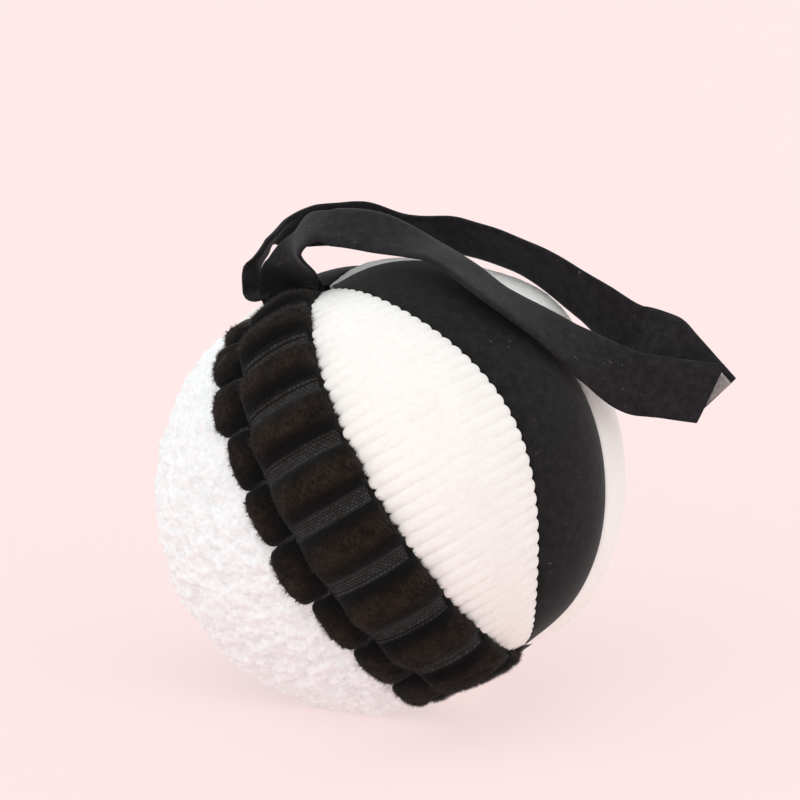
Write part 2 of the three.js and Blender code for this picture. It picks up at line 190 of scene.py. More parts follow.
def blend_matrix(knots: int, samples: Array) -> Array:
    """Catmull-Rom weights that carry knot values to samples from 0 to 1.

    Args:
        knots: Number of evenly spaced knots.
        samples: Places along the knots.

    Returns:
        Matrix with a row of weights for each sample.
    """
    place = np.clip(samples, 0, 1) * (knots - 1)
    base = np.minimum(place.astype(int), knots - 2)
    t = place - base
    weights = (
        -0.5 * t + t**2 - 0.5 * t**3,
        1 - 2.5 * t**2 + 1.5 * t**3,
        0.5 * t + 2 * t**2 - 1.5 * t**3,
        -0.5 * t**2 + 0.5 * t**3,
    )
    matrix = np.zeros((len(samples), knots))
    for step, weight in zip((-1, 0, 1, 2), weights):
        np.add.at(matrix, (np.arange(len(samples)), np.clip(base + step, 0, knots - 1)), weight)
    return matrix


def centripetal_curve(points: Array, samples: Array) -> Array:
    """Centripetal Catmull-Rom curve through points, its spans sharing 0 to 1 evenly.

    Knots are spaced by the square root of the distance between points, and the curve runs
    on past both ends by the mirrored neighbour. Spans between equal points take the step
    of the span beside them.

    Args:
        points: Points to pass through.
        samples: Places along the curve from 0 to 1.

    Returns:
        Positions on the curve.
    """
    full = np.concatenate([[2 * points[0] - points[1]], points, [2 * points[-1] - points[-2]]])
    place = np.clip(samples, 0, 1) * (len(points) - 1)
    base = np.minimum(place.astype(int), len(points) - 2)
    t = (place - base)[:, None]
    p0, p1, p2, p3 = (full[base + step] for step in range(4))
    spans = ((p0, p1), (p1, p2), (p2, p3))
    d0, d1, d2 = (np.sqrt(np.linalg.norm(b - a, axis=1, keepdims=True)) for a, b in spans)
    d1 = np.where(d1 < EQUAL_STEP, 1.0, d1)
    d0 = np.where(d0 < EQUAL_STEP, d1, d0)
    d2 = np.where(d2 < EQUAL_STEP, d1, d2)
    m1 = ((p1 - p0) / d0 - (p2 - p0) / (d0 + d1) + (p2 - p1) / d1) * d1
    m2 = ((p2 - p1) / d1 - (p3 - p1) / (d1 + d2) + (p3 - p2) / d2) * d1
    cubic = 2 * p1 - 2 * p2 + m1 + m2
    square = -3 * p1 + 3 * p2 - 2 * m1 - m2
    return p1 + m1 * t + square * t**2 + cubic * t**3


def srgb(colour: str) -> tuple[float, float, float, float]:
    """Linear colour from an sRGB one.

    Args:
        colour: Hex value such as "#2e2b2c".

    Returns:
        Red, green, blue and full alpha.
    """
    parts = np.array([int(colour[i : i + 2], 16) for i in (1, 3, 5)]) / 255
    linear = np.where(parts <= 0.04045, parts / 12.92, ((parts + 0.055) / 1.055) ** 2.4)
    return (*map(float, linear), 1.0)


def add_node(tree: Tree, kind: str, inputs: dict | None = None, **settings: object) -> bpy.types.Node:
    """Adds a node with its settings, values and links.

    Args:
        tree: Node tree to add to.
        kind: Blender's name of the node's type.
        inputs: Socket names or numbers, each with a value or an output to link.
        settings: Properties of the node.

    Returns:
        The node.
    """
    node = tree.nodes.new(kind)
    for key, value in settings.items():
        setattr(node, key, value)
    for key, value in (inputs or {}).items():
        if isinstance(value, Socket):
            tree.links.new(value, node.inputs[key])
        else:
            node.inputs[key].default_value = value
    return node


def empty_tree(owner: bpy.types.Material | bpy.types.World) -> Tree:
    """Turns on a node tree and takes its first nodes out.

    Args:
        owner: Material or world that the tree belongs to.

    Returns:
        The empty tree.
    """
    owner.use_nodes = True
    owner.node_tree.nodes.clear()
    return owner.node_tree


@dataclass(frozen=True)
class Finish:
    """Finish of a cloth: one soft, matt shader whose inputs each kind of cloth works out.

    Attributes:
        name: Name of the material.
        slot: Slot of the record that the finish belongs to. Not used.
    """

    name: str
    slot: str

    def make(self) -> bpy.types.Material:
        """Builds the material.

        Returns:
            The material, with its shader and output.
        """
        material = bpy.data.materials.new(self.name)
        tree = empty_tree(material)
        shader = add_node(tree, "ShaderNodeBsdfPrincipled", self.inputs(tree))
        add_node(tree, "ShaderNodeOutputMaterial", {"Surface": shader.outputs[0]})
        return material

    def inputs(self, tree: Tree) -> dict[str, object]:
        """Inputs of the shader, which a kind of cloth gives."""
        raise NotImplementedError


@dataclass(frozen=True)
class PileFinish(Finish):
    """Cut or looped pile: soft matt fibres in two close tones, with a little sheen.

    Attributes:
        tip: Colour of the lit fibre tips.
        root: Colour between the tufts, and on a cloth with a ground also its painted shade.
        tuft_mm: Size of the tufts.
        bump: Strength of the tufts' bump.
        sheen: Weight of the fibres' sheen.
        drift: Share of the slow change of tone, beside that of the tufts.
        drift_tufts: Tufts across a patch of that slow change.
        soft_light: Share of the light that spreads inside the pile.
        base: Colour of the bare woven ground, where the pile is missing.
        thread_mm: Spacing of that ground's threads, drawn as coarse as it needs to show.
        streaks: Streaks in a tuft's size across and along a cloth that has a ground.
    """

    tip: str
    root: str
    tuft_mm: float
    bump: float
    sheen: float = 0.1
    drift: float = 0.3
    drift_tufts: float = 6
    soft_light: float = 0.0
    base: str | None = None
    thread_mm: float = 1.0
    streaks: tuple[float, float] = (2.2, 0.55)

    def inputs(self, tree: Tree) -> dict[str, object]:
        """Noise in the tufts' size gives the tone and the bump, with a slower noise in the tone.

        Args:
            tree: Node tree to add to.

        Returns:
            Socket names of the shader, each with a value or an output.
        """
        place = add_node(tree, "ShaderNodeTexCoord").outputs["Object"]
        lie = place
        if self.base is not None:
            cloth = add_node(tree, "ShaderNodeAttribute", **ON_CLOTH).outputs["Vector"]
            stretch = (self.streaks[0] * MM, self.streaks[1] * MM, 0.0)
            lie = add_node(
                tree, "ShaderNodeVectorMath", {0: cloth, 1: stretch}, operation="MULTIPLY"
            ).outputs[0]
        per_metre = 1 / (self.tuft_mm * MM)
        tufts = add_node(
            tree,
            "ShaderNodeTexNoise",
            {"Vector": lie, "Scale": per_metre, "Detail": 3.0, "Roughness": 0.6},
        ).outputs[0]
        slow = add_node(
            tree,
            "ShaderNodeTexNoise",
            {"Vector": place, "Scale": per_metre / self.drift_tufts, "Detail": 2.0},
        ).outputs[0]
        light = add_node(tree, "ShaderNodeMix", {0: self.drift, 2: tufts, 3: slow}).outputs[0]
        # Noise gathers round 0.5, so narrower limits bring out both tones.
        tone = add_node(
            tree, "ShaderNodeMapRange", {"Value": light, "From Min": 0.32, "From Max": 0.66}, **SMOOTH
        ).outputs[0]
        colour = add_node(
            tree, "ShaderNodeMix", {0: tone, 6: srgb(self.root), 7: srgb(self.tip)}, **COLOURS
        ).outputs[2]
        height = tufts
        if self.base is not None:
            colour, height = self.with_ground(tree, cloth, colour, height)
        bump = add_node(
            tree, "ShaderNodeBump", {"Height": height, "Strength": self.bump, "Distance": 0.6 * MM}
        )
        return {
            "Base Color": colour,
            "Roughness": 0.95,
            "Specular IOR Level": 0.15,
            "Sheen Weight": self.sheen,
            "Sheen Roughness": 0.5,
            "Subsurface Weight": self.soft_light,
            "Subsurface Radius": (1.0, 1.0, 1.0),
            "Subsurface Scale": 1.5 * MM,
            "Normal": bump.outputs[0],
        }

    def with_ground(
        self, tree: Tree, cloth: Socket, colour: Socket, height: Socket
    ) -> tuple[Socket, Socket]:
        """Puts the woven ground in the places that have no pile.

        Bricks of one thread's spacing stand for the weave. Where the pile share falls the colour goes to
        the root colour: partly thin pile that shows its roots, partly painted shade that the ridged
        panel puts into that share.

        Args:
            tree: Node tree to add to.
            cloth: Millimetres on the cloth, and its share of pile.
            colour: Colour of the pile.
            height: Bump height of the pile.

        Returns:
            Colour and height of pile and ground together.
        """
        pile = add_node(tree, "ShaderNodeSeparateXYZ", {0: cloth}).outputs[2]
        strands = add_node(
            tree,
            "ShaderNodeTexBrick",
            {
                "Vector": cloth,
                "Color1": srgb(self.base),
                "Color2": srgb(self.tip),
                "Mortar": srgb(self.root),
                "Scale": 1.0,
                "Mortar Size": 0.16 * self.thread_mm,
                "Mortar Smooth": 0.9,
                "Bias": -0.2,
                "Brick Width": 1.3 * self.thread_mm,
                "Row Height": 0.75 * self.thread_mm,
            },
        )
        grown, full = (
            add_node(
                tree, "ShaderNodeMapRange", {"Value": pile, "From Min": low, "From Max": high}, **SMOOTH
            ).outputs[0]
            for low, high in ((0.06, 0.28), (0.5, 1.0))
        )
        # Partly painted shade: pile share under 1 darkens towards the root colour.
        deep = add_node(
            tree, "ShaderNodeMix", {0: full, 6: srgb(self.root), 7: colour}, **COLOURS
        ).outputs[2]
        both = add_node(
            tree, "ShaderNodeMix", {0: grown, 6: strands.outputs[0], 7: deep}, **COLOURS
        ).outputs[2]
        raised = add_node(
            tree, "ShaderNodeMath", {0: 1.0, 1: strands.outputs[1]}, operation="SUBTRACT"
        ).outputs[0]
        return both, add_node(tree, "ShaderNodeMix", {0: grown, 2: raised, 3: height}).outputs[0]


@dataclass(frozen=True)
class CottonFinish(Finish):
    """Plain-woven dyed cotton: matt, faintly mottled threads with stray pale lint, and painted shade at
    folds.

    Attributes:
        thread: Colour on top of the threads.
        gap: Colour between the threads.
        lint: Colour of the stray fibres.
        fold: Painted shade: the colour where the cloth's third value falls to 0, as deep in a fold.
        thread_mm: Spacing of the threads, drawn coarser than the real 0.4 mm so that it shows.
        mottle_mm: Size of the mottled patches.
        speck_mm: Size of a fibre of lint.
        lint_mm: Usual distance between fibres of lint.
        bump: Strength of the weave's bump.
    """

    thread: str
    gap: str
    lint: str = "#4e4a4a"
    fold: str = "#0a090a"
    thread_mm: float = 0.5
    mottle_mm: float = 2.2
    speck_mm: float = 0.9
    lint_mm: float = 9.0
    bump: float = 0.07

    def inputs(self, tree: Tree) -> dict[str, object]:
        """Threads and mottling give the tone, lint lies over them and painted fold shade darkens them.

        Args:
            tree: Node tree to add to.

        Returns:
            Socket names of the shader, each with a value or an output.
        """
        place = add_node(tree, "ShaderNodeTexCoord").outputs["Object"]
        cloth = add_node(tree, "ShaderNodeAttribute", **ON_CLOTH).outputs["Vector"]
        threads = self.woven_height(tree, cloth)
        mottle = add_node(
            tree,
            "ShaderNodeTexNoise",
            {"Vector": place, "Scale": 1 / (self.mottle_mm * MM), "Detail": 4.0, "Roughness": 0.65},
        ).outputs[0]
        mix = add_node(tree, "ShaderNodeMix", {0: 0.88, 2: threads, 3: mottle}).outputs[0]
        tone = add_node(
            tree, "ShaderNodeMapRange", {"Value": mix, "From Min": 0.3, "From Max": 0.72}, **SMOOTH
        ).outputs[0]
        lint = self.lint_share(tree, place)
        lit = add_node(tree, "ShaderNodeSeparateXYZ", {0: cloth}).outputs[2]
        colour = add_node(
            tree, "ShaderNodeMix", {0: tone, 6: srgb(self.gap), 7: srgb(self.thread)}, **COLOURS
        ).outputs[2]
        colour = add_node(
            tree, "ShaderNodeMix", {0: lint, 6: colour, 7: srgb(self.lint)}, **COLOURS
        ).outputs[2]
        # Painted shade: the cloth's third value blends the colour towards the dark fold colour.
        colour = add_node(
            tree, "ShaderNodeMix", {0: lit, 6: srgb(self.fold), 7: colour}, **COLOURS
        ).outputs[2]
        bump = add_node(
            tree, "ShaderNodeBump", {"Height": threads, "Strength": self.bump, "Distance": 0.25 * MM}
        )
        return {
            "Base Color": colour,
            "Roughness": 0.9,
            "Specular IOR Level": 0.2,
            "Sheen Weight": 0.12,
            "Sheen Roughness": 0.4,
            "Normal": bump.outputs[0],
        }

    def woven_height(self, tree: Tree, cloth: Socket) -> Socket:
        """Height of a plain weave: the product of two sets of bands that cross.

        A wave texture repeats every 2 pi / 20 of its scaled coordinate.

        Args:
            tree: Node tree to add to.
            cloth: Millimetres across and along the cloth.

        Returns:
            Output from 0 between the threads to 1 on top of one.
        """
        wave = {"Vector": cloth, "Scale": 2 * math.pi / 20 / self.thread_mm, "Distortion": 0.4}
        warp, weft = (
            add_node(tree, "ShaderNodeTexWave", wave, bands_direction=way).outputs["Fac"] for way in "XY"
        )
        return add_node(tree, "ShaderNodeMath", {0: warp, 1: weft}, operation="MULTIPLY").outputs[0]

    def lint_share(self, tree: Tree, place: Socket) -> Socket:
        """Cover of stray lint: the peaks of a fine noise, kept in those of a slow one.

        Args:
            tree: Node tree to add to.
            place: Position on the object.

        Returns:
            Output from 0 to 1 on a speck of lint.
        """
        peaks = {}
        for number, (size, detail, low, high) in enumerate(
            ((self.speck_mm, 1.0, 0.71, 0.77), (self.lint_mm, 0.0, 0.52, 0.64))
        ):
            noise = add_node(
                tree, "ShaderNodeTexNoise", {"Vector": place, "Scale": 1 / (size * MM), "Detail": detail}
            ).outputs[0]
            peaks[number] = add_node(
                tree, "ShaderNodeMapRange", {"Value": noise, "From Min": low, "From Max": high}, **SMOOTH
            ).outputs[0]
        return add_node(tree, "ShaderNodeMath", peaks, operation="MULTIPLY").outputs[0]


# Looped terry plush: a cool, bright white that breaks into soft tufts.
TERRY_PILE = PileFinish(
    "white terry plush", "terry_white", "#fafdfe", "#eceff0", tuft_mm=1.1, bump=0.55, drift=0.2,
    soft_light=0.5,
)
# Brushed wide-wale corduroy: a warm white with light between its wales, so they stay faint.
CORDUROY_PILE = PileFinish(
    "cream corduroy plush", "corduroy_white", "#f7f4f0", "#f2eeea", tuft_mm=1.2, bump=0.12,
    soft_light=0.3,
)
# Sheared velour: the warmest and smoothest white, with hardly a shadow of its own.
VELOUR_PILE = PileFinish(
    "cream velour", "velour_white", "#fffaf5", "#fbf5f0", tuft_mm=1.0, bump=0.1, soft_light=0.6
)
# Long-pile plush on a woven ground: brown-black streaks, with greyer threads in the channels, and
# painted shade where its panel lowers the pile share.
RIDGED_PILE = PileFinish(
    "black ridged plush", "plush_black", "#32271f", "#060505", tuft_mm=0.7, bump=0.8, sheen=0.06,
    base="#3d3d3f", thread_mm=0.85,
)
# Carded polyester fibre: an off-white, lumpy wad.
FILLING_FIBRE = PileFinish("polyester filling", "filling", "#efeeea", "#dddbd6", tuft_mm=5.0, bump=0.6)
# Napped nylon tape: a matt, fuzzy mid grey.
TAPE_PILE = PileFinish("grey loop tape", "tape_grey", "#a8a19e", "#847e7b", tuft_mm=0.9, bump=0.6)
# Plain-woven cotton dyed black: matt and near black, with a few specks of lint.
PANEL_COTTON = CottonFinish("black cotton", "cotton_black", thread="#232122", gap="#131213")
# The same weave as a folded band, with painted light: its threads are a little paler all over, as if the
# whole strap stood in the light.
STRAP_COTTON_PAINTED_LIT = CottonFinish("black strap cotton painted lighter", "strap_cotton", thread="#29272a", gap="#181618")


class Wardrobe:
    """Keeps one material for each finish."""

    def __init__(self) -> None:
        """Starts with no materials."""
        self.materials: dict[str, bpy.types.Material] = {}

    def material(self, finish: Finish) -> bpy.types.Material:
        """Looks up a finish's material, and makes it at its first use.

        Args:
            finish: Finish to look up.

        Returns:
            The material.
        """
        if finish.name not in self.materials:
            self.materials[finish.name] = finish.make()
        return self.materials[finish.name]

    def piece(
        self,
        name: str,
        vertices: Array,
        faces: Array,
        finish: Finish,
        cloth: Array | None = None,
        normals: Array | None = None,
    ) -> bpy.types.Object:
        """Makes a smooth-shaded mesh object in its finish.

        Args:
            name: Name of the piece.
            vertices: Positions in the part's frame.
            faces: Corner indices of its faces.
            finish: Finish of the whole piece.
            cloth: Millimetres across and along the cloth, and its pile, for each position or all.
            normals: Normals to shade with in place of the mesh's own.

        Returns:
            The object, at the origin.
        """
        mesh = bpy.data.meshes.new(name)
        mesh.from_pydata(vertices.reshape(-1, 3), [], faces)
        mesh.shade_smooth()
        if normals is not None:
            mesh.normals_split_custom_set_from_vertices(normals)
        if cloth is not None:
            kept = mesh.attributes.new(CLOTH_ATTRIBUTE, "FLOAT_VECTOR", "POINT")
            each = np.broadcast_to(cloth.reshape(-1, 3), (len(mesh.vertices), 3))
            kept.data.foreach_set("vector", each.astype(np.float32).ravel())
        mesh.materials.append(self.material(finish))
        piece = bpy.data.objects.new(name, mesh)
        bpy.context.scene.collection.objects.link(piece)
        LOG.info("%s: %d vertices, %d faces", name, len(mesh.vertices), len(mesh.polygons))
        return piece


@dataclass(frozen=True)
class Seam:
    """Seam between two panels.

    Attributes:
        bearing: Degrees at the equator from the front towards +X.
        end: End of the pole slits that it runs to.
        bend_below: Degrees that it bends aside below the equator.
        bend_above: The same above it.
    """

    bearing: float
    end: SlitEnd
    bend_below: float = 0.0
    bend_above: float = 0.0


@dataclass(frozen=True)
class Gore:
    """Stretch of the ball between two seams.

    Attributes:
        first: Seam where the share across is 0.
        second: Seam where the share across is 1.
    """

    first: Seam
    second: Seam

    @property
    def span(self) -> float:
        """Degrees from the first seam to the second."""
        return (self.second.bearing - self.first.bearing) % 360

    @property
    def pointed(self) -> bool:
        """Whether both seams run to the same end of the slits."""
        return self.first.end is self.second.end


@dataclass(frozen=True)
class BallForm:
    """Leaning ellipsoid that the seams lie on, with the panels' swell over it.

    Attributes:
        seam_radius: Radius at the equator.
        half_height: Half height along the poles.
        lean_left: Degrees that the upper pole leans towards -X.
        lean_back: Degrees that the upper pole leans towards +Y.
        centre_height: Height of the centre over the rest flat.
        slit_forward: Way from the axis to the upper slit, towards the front.
        lower_slit_forward: The same to the lower slit.
        slit_right: Way from the axis to their middle, towards +X.
        slit_half_length: Half of a slit's length.
        upper_slit_half: Half of the upper slit's width.
        lower_slit_half: Half of the lower slit's width.
        pole_dip: Depth that the panels are drawn in at the slits.
        pole_dip_spread: Reach of that dip.
        crown_height: Swell of a full panel.
        crown_full_width: Width from which a panel swells fully.
        slack_way: Direction in which the stuffing is slack, towards the lower slit.
        slack_reach: Way from the centre at which the cloth lies flat there.
        slack_soft: Way over which it goes flat.
        slack_keep: Share of the roundness that is kept beyond it.
    """

    seam_radius: float = 57.2 * MM
    half_height: float = 55.2 * MM
    lean_left: float = 29.5
    lean_back: float = 14.6
    centre_height: float = 56.85 * MM
    slit_forward: float = 17.4 * MM
    lower_slit_forward: float = 9.0 * MM
    slit_right: float = 2.8 * MM
    slit_half_length: float = 7.5 * MM
    upper_slit_half: float = 2.7 * MM
    lower_slit_half: float = 0.8 * MM
    pole_dip: float = 3 * MM
    pole_dip_spread: float = 15 * MM
    crown_height: float = 2.2 * MM
    crown_full_width: float = 26 * MM
    slack_way: Point = (0.42, -0.13, -0.9)
    slack_reach: float = 50.8 * MM
    slack_soft: float = 2.5 * MM
    slack_keep: float = 0.12

    def plan(self, gore: Gore, share: Array, turn: Array) -> tuple[Array, Array]:
        """Slit end and the way from it to the equator, in the plan along the poles.

        A seam's bend grows with cos(turn)^2 from the equator to the slits.

        Args:
            gore: Stretch of the ball.
            share: Shares across it.
            turn: Turns from the upper slit, which tell the slit that is meant.

        Returns:
            Ends and ways, with two axes last.
        """
        first, second = gore.first, gore.second
        below = np.cos(turn) < 0
        low = between(first.bend_below, second.bend_below, share)
        high = between(first.bend_above, second.bend_above, share)
        bend = np.where(below, low, high) * np.cos(turn) ** 2
        bearing = np.radians(first.bearing + gore.span * share + bend)
        side = between(first.end.value, second.end.value, share)
        forward = np.where(below, self.lower_slit_forward, self.slit_forward)
        end = np.stack([self.slit_right + side * self.slit_half_length, -forward], axis=-1)
        rim = self.seam_radius * np.stack([np.sin(bearing), -np.cos(bearing)], axis=-1)
        return end, rim - end

    def seat(self, gore: Gore, share: Array, turn: Array) -> tuple[Array, Array]:
        """Points and outward directions on the seam ellipsoid, sunk towards the slits.

        The plan is end + way * sin(turn), and the height follows the ellipsoid over it.

        Args:
            gore: Stretch of the ball.
            share: Shares across it from its first seam.
            turn: Turns from the upper slit (0) past the equator to the lower slit (pi).

        Returns:
            Positions and unit vectors in the ball's own axes.
        """
        share, turn = one_shape(share, turn)
        end, way = self.plan(gore, share, turn)
        reach = np.sin(turn)
        plan = end + way * reach[..., None]
        inside = np.maximum(0, 1 - np.sum(plan**2, axis=-1) / self.seam_radius**2)
        height = np.where(np.cos(turn) < 0, -1, 1) * self.half_height * np.sqrt(inside)
        near = np.exp(-((reach * np.linalg.norm(way, axis=-1) / self.pole_dip_spread) ** 2))
        sunk = height * (1 - self.pole_dip / self.half_height * near)
        point = np.concatenate([plan, sunk[..., None]], axis=-1)
        steep = (height / self.half_height**2)[..., None]
        outward = np.concatenate([plan / self.seam_radius**2, steep], axis=-1)
        return point, unit(outward)

    def width(self, gore: Gore, turn: Array) -> Array:
        """Distance between a gore's two seams.

        Args:
            gore: Stretch of the ball.
            turn: Turns from the upper slit.

        Returns:
            Distance at each turn.
        """
        first, _ = self.seat(gore, 0.0, turn)
        second, _ = self.seat(gore, 1.0, turn)
        return np.linalg.norm(second - first, axis=-1)

    def turns(self, gore: Gore, share: Array, along: Array) -> Array:
        """Turns at shares of the way from the upper slit's edge to the lower one's.

        Args:
            gore: Stretch of the ball.
            share: Shares across it.
            along: Shares of the way along it.

        Returns:
            Turns, clear of both slits.
        """
        share, along = one_shape(share, along)
        ways = [self.plan(gore, share, np.full_like(share, turn))[1] for turn in (0, np.pi)]
        upper, lower = (
            np.linalg.norm(way, axis=-1) if gore.pointed else np.abs(way[..., 1]) for way in ways
        )
        start = np.arcsin(self.upper_slit_half / upper)
        stop = np.pi - np.arcsin(self.lower_slit_half / lower)
        return between(start, stop, along)

    def fullness(self, gore: Gore, share: Array, turn: Array) -> Array:
        """Share of the full swell: it grows with the width and with the way from the slits.

        Args:
            gore: Stretch of the ball.
            share: Shares across it.
            turn: Turns from the upper slit.

        Returns:
            Shares from 0 to 1.
        """
        share, turn = one_shape(share, turn)
        _, way = self.plan(gore, share, turn)
        from_slit = np.sin(turn) * np.linalg.norm(way, axis=-1)
        return np.clip(np.minimum(self.width(gore, turn), from_slit) / self.crown_full_width, 0, 1)

    def lean(self) -> Array:
        """Rotation from the ball's own axes to the part's: about Y, then about X.

        Returns:
            Matrix that turns a column of axes.
        """
        back, left = np.radians([-self.lean_back, -self.lean_left])
        about_x = np.array(
            [[1, 0, 0], [0, np.cos(back), -np.sin(back)], [0, np.sin(back), np.cos(back)]]
        )
        about_y = np.array(
            [[np.cos(left), 0, np.sin(left)], [0, 1, 0], [-np.sin(left), 0, np.cos(left)]]
        )
        return about_x @ about_y

    def placed(self, points: Array) -> Array:
        """Points of the ball's own axes in the part's frame, pressed flat in the slack way.

        With h the way along it past the flat, the press is 0 up to -w, (h + w)^2 / 4w up to w
        and h beyond, times the roundness that is lost.

        Args:
            points: Positions in the ball's own axes.

        Returns:
            Positions in the part's frame.
        """
        upright = points @ self.lean().T
        way = unit(np.array(self.slack_way))
        past = upright @ way - self.slack_reach
        soft = np.clip(past + self.slack_soft, 0, 2 * self.slack_soft) ** 2 / (4 * self.slack_soft)
        press = (1 - self.slack_keep) * np.maximum(soft, past)
        return upright - press[..., None] * way + (0, 0, self.centre_height)

    def even_rows(self, gore: Gore, rows: int) -> tuple[Array, Array]:
        """Rows spaced evenly along the middle of a gore.

        Args:
            gore: Stretch of the ball.
            rows: Number of rows.

        Returns:
            Shares of the way along it, and each one's length from the upper slit.
        """
        fine = np.linspace(0, 1, ROW_SAMPLES)
        middle, _ = self.seat(gore, 0.5, self.turns(gore, 0.5, fine))
        length = run_lengths(middle)
        even = np.linspace(0, length[-1], rows)
        return np.interp(even, length, fine), even


@dataclass
class Pile:
    """Short fibres that stand on a panel.

    Attributes:
        count: Number of fibres.
        length: Usual length of a fibre.
        thickness: Width of a fibre at its root.
        seed: Seed of the fibres' places.
        length_shares: Least and greatest share of that length that a fibre has.
        lean_shares: Least and greatest share of its length that it leans sideways.
        root_share: Share of the usual length that its root is sunk by.
    """

    count: int
    length: float
    thickness: float
    seed: int
    length_shares: tuple[float, float] = (0.6, 1.25)
    lean_shares: tuple[float, float] = (0.3, 1)
    root_share: float = 0.2

    def fibres(self, points: Array, normals: Array, cover: Array) -> tuple[Array, Array, Array]:
        """Closed three-sided spikes at random places on a grid.

        A place is drawn evenly by area, and each spike has a triangle of roots and a tip at
        the normal plus a random lean.

        Args:
            points: Grid of positions.
            normals: Outward directions there.
            cover: Share of pile there, from 0 for none.

        Returns:
            Positions of the spikes, corner indices of their faces, and the panel's normals.
        """
        rng = np.random.default_rng(self.seed)
        down = points[1:, :-1] - points[:-1, :-1]
        right = points[:-1, 1:] - points[:-1, :-1]
        area = np.linalg.norm(np.cross(down, right), axis=-1) * cover[:-1, :-1]
        cells = rng.choice(area.size, self.count, p=area.ravel() / area.sum())
        row, column = np.unravel_index(cells, area.shape)
        part = rng.uniform(0, 1, (2, self.count, 1))
        root = points[row, column] + down[row, column] * part[0] + right[row, column] * part[1]
        normal = normals[row, column]
        side = square_to(rng.normal(size=(self.count, 3)), normal)
        length = self.length * rng.uniform(*self.length_shares, (self.count, 1))
        lean = rng.uniform(*self.lean_shares, (self.count, 1))
        tip = root + length * unit(normal + side * lean)
        other = np.cross(normal, side)
        angles = np.arange(3)[:, None, None] * 2 * np.pi / 3
        ring = np.cos(angles) * side + np.sin(angles) * other
        base = root - normal * self.length * self.root_share + ring * self.thickness / 2
        corners = np.concatenate([base, tip[None]]).transpose(1, 0, 2)
        spike = np.array([[0, 1, 3], [1, 2, 3], [2, 0, 3], [0, 2, 1]])
        faces = (np.arange(self.count)[:, None, None] * 4 + spike).reshape(-1, 3)
        return corners.reshape(-1, 3), faces, np.repeat(normal, 4, axis=0)


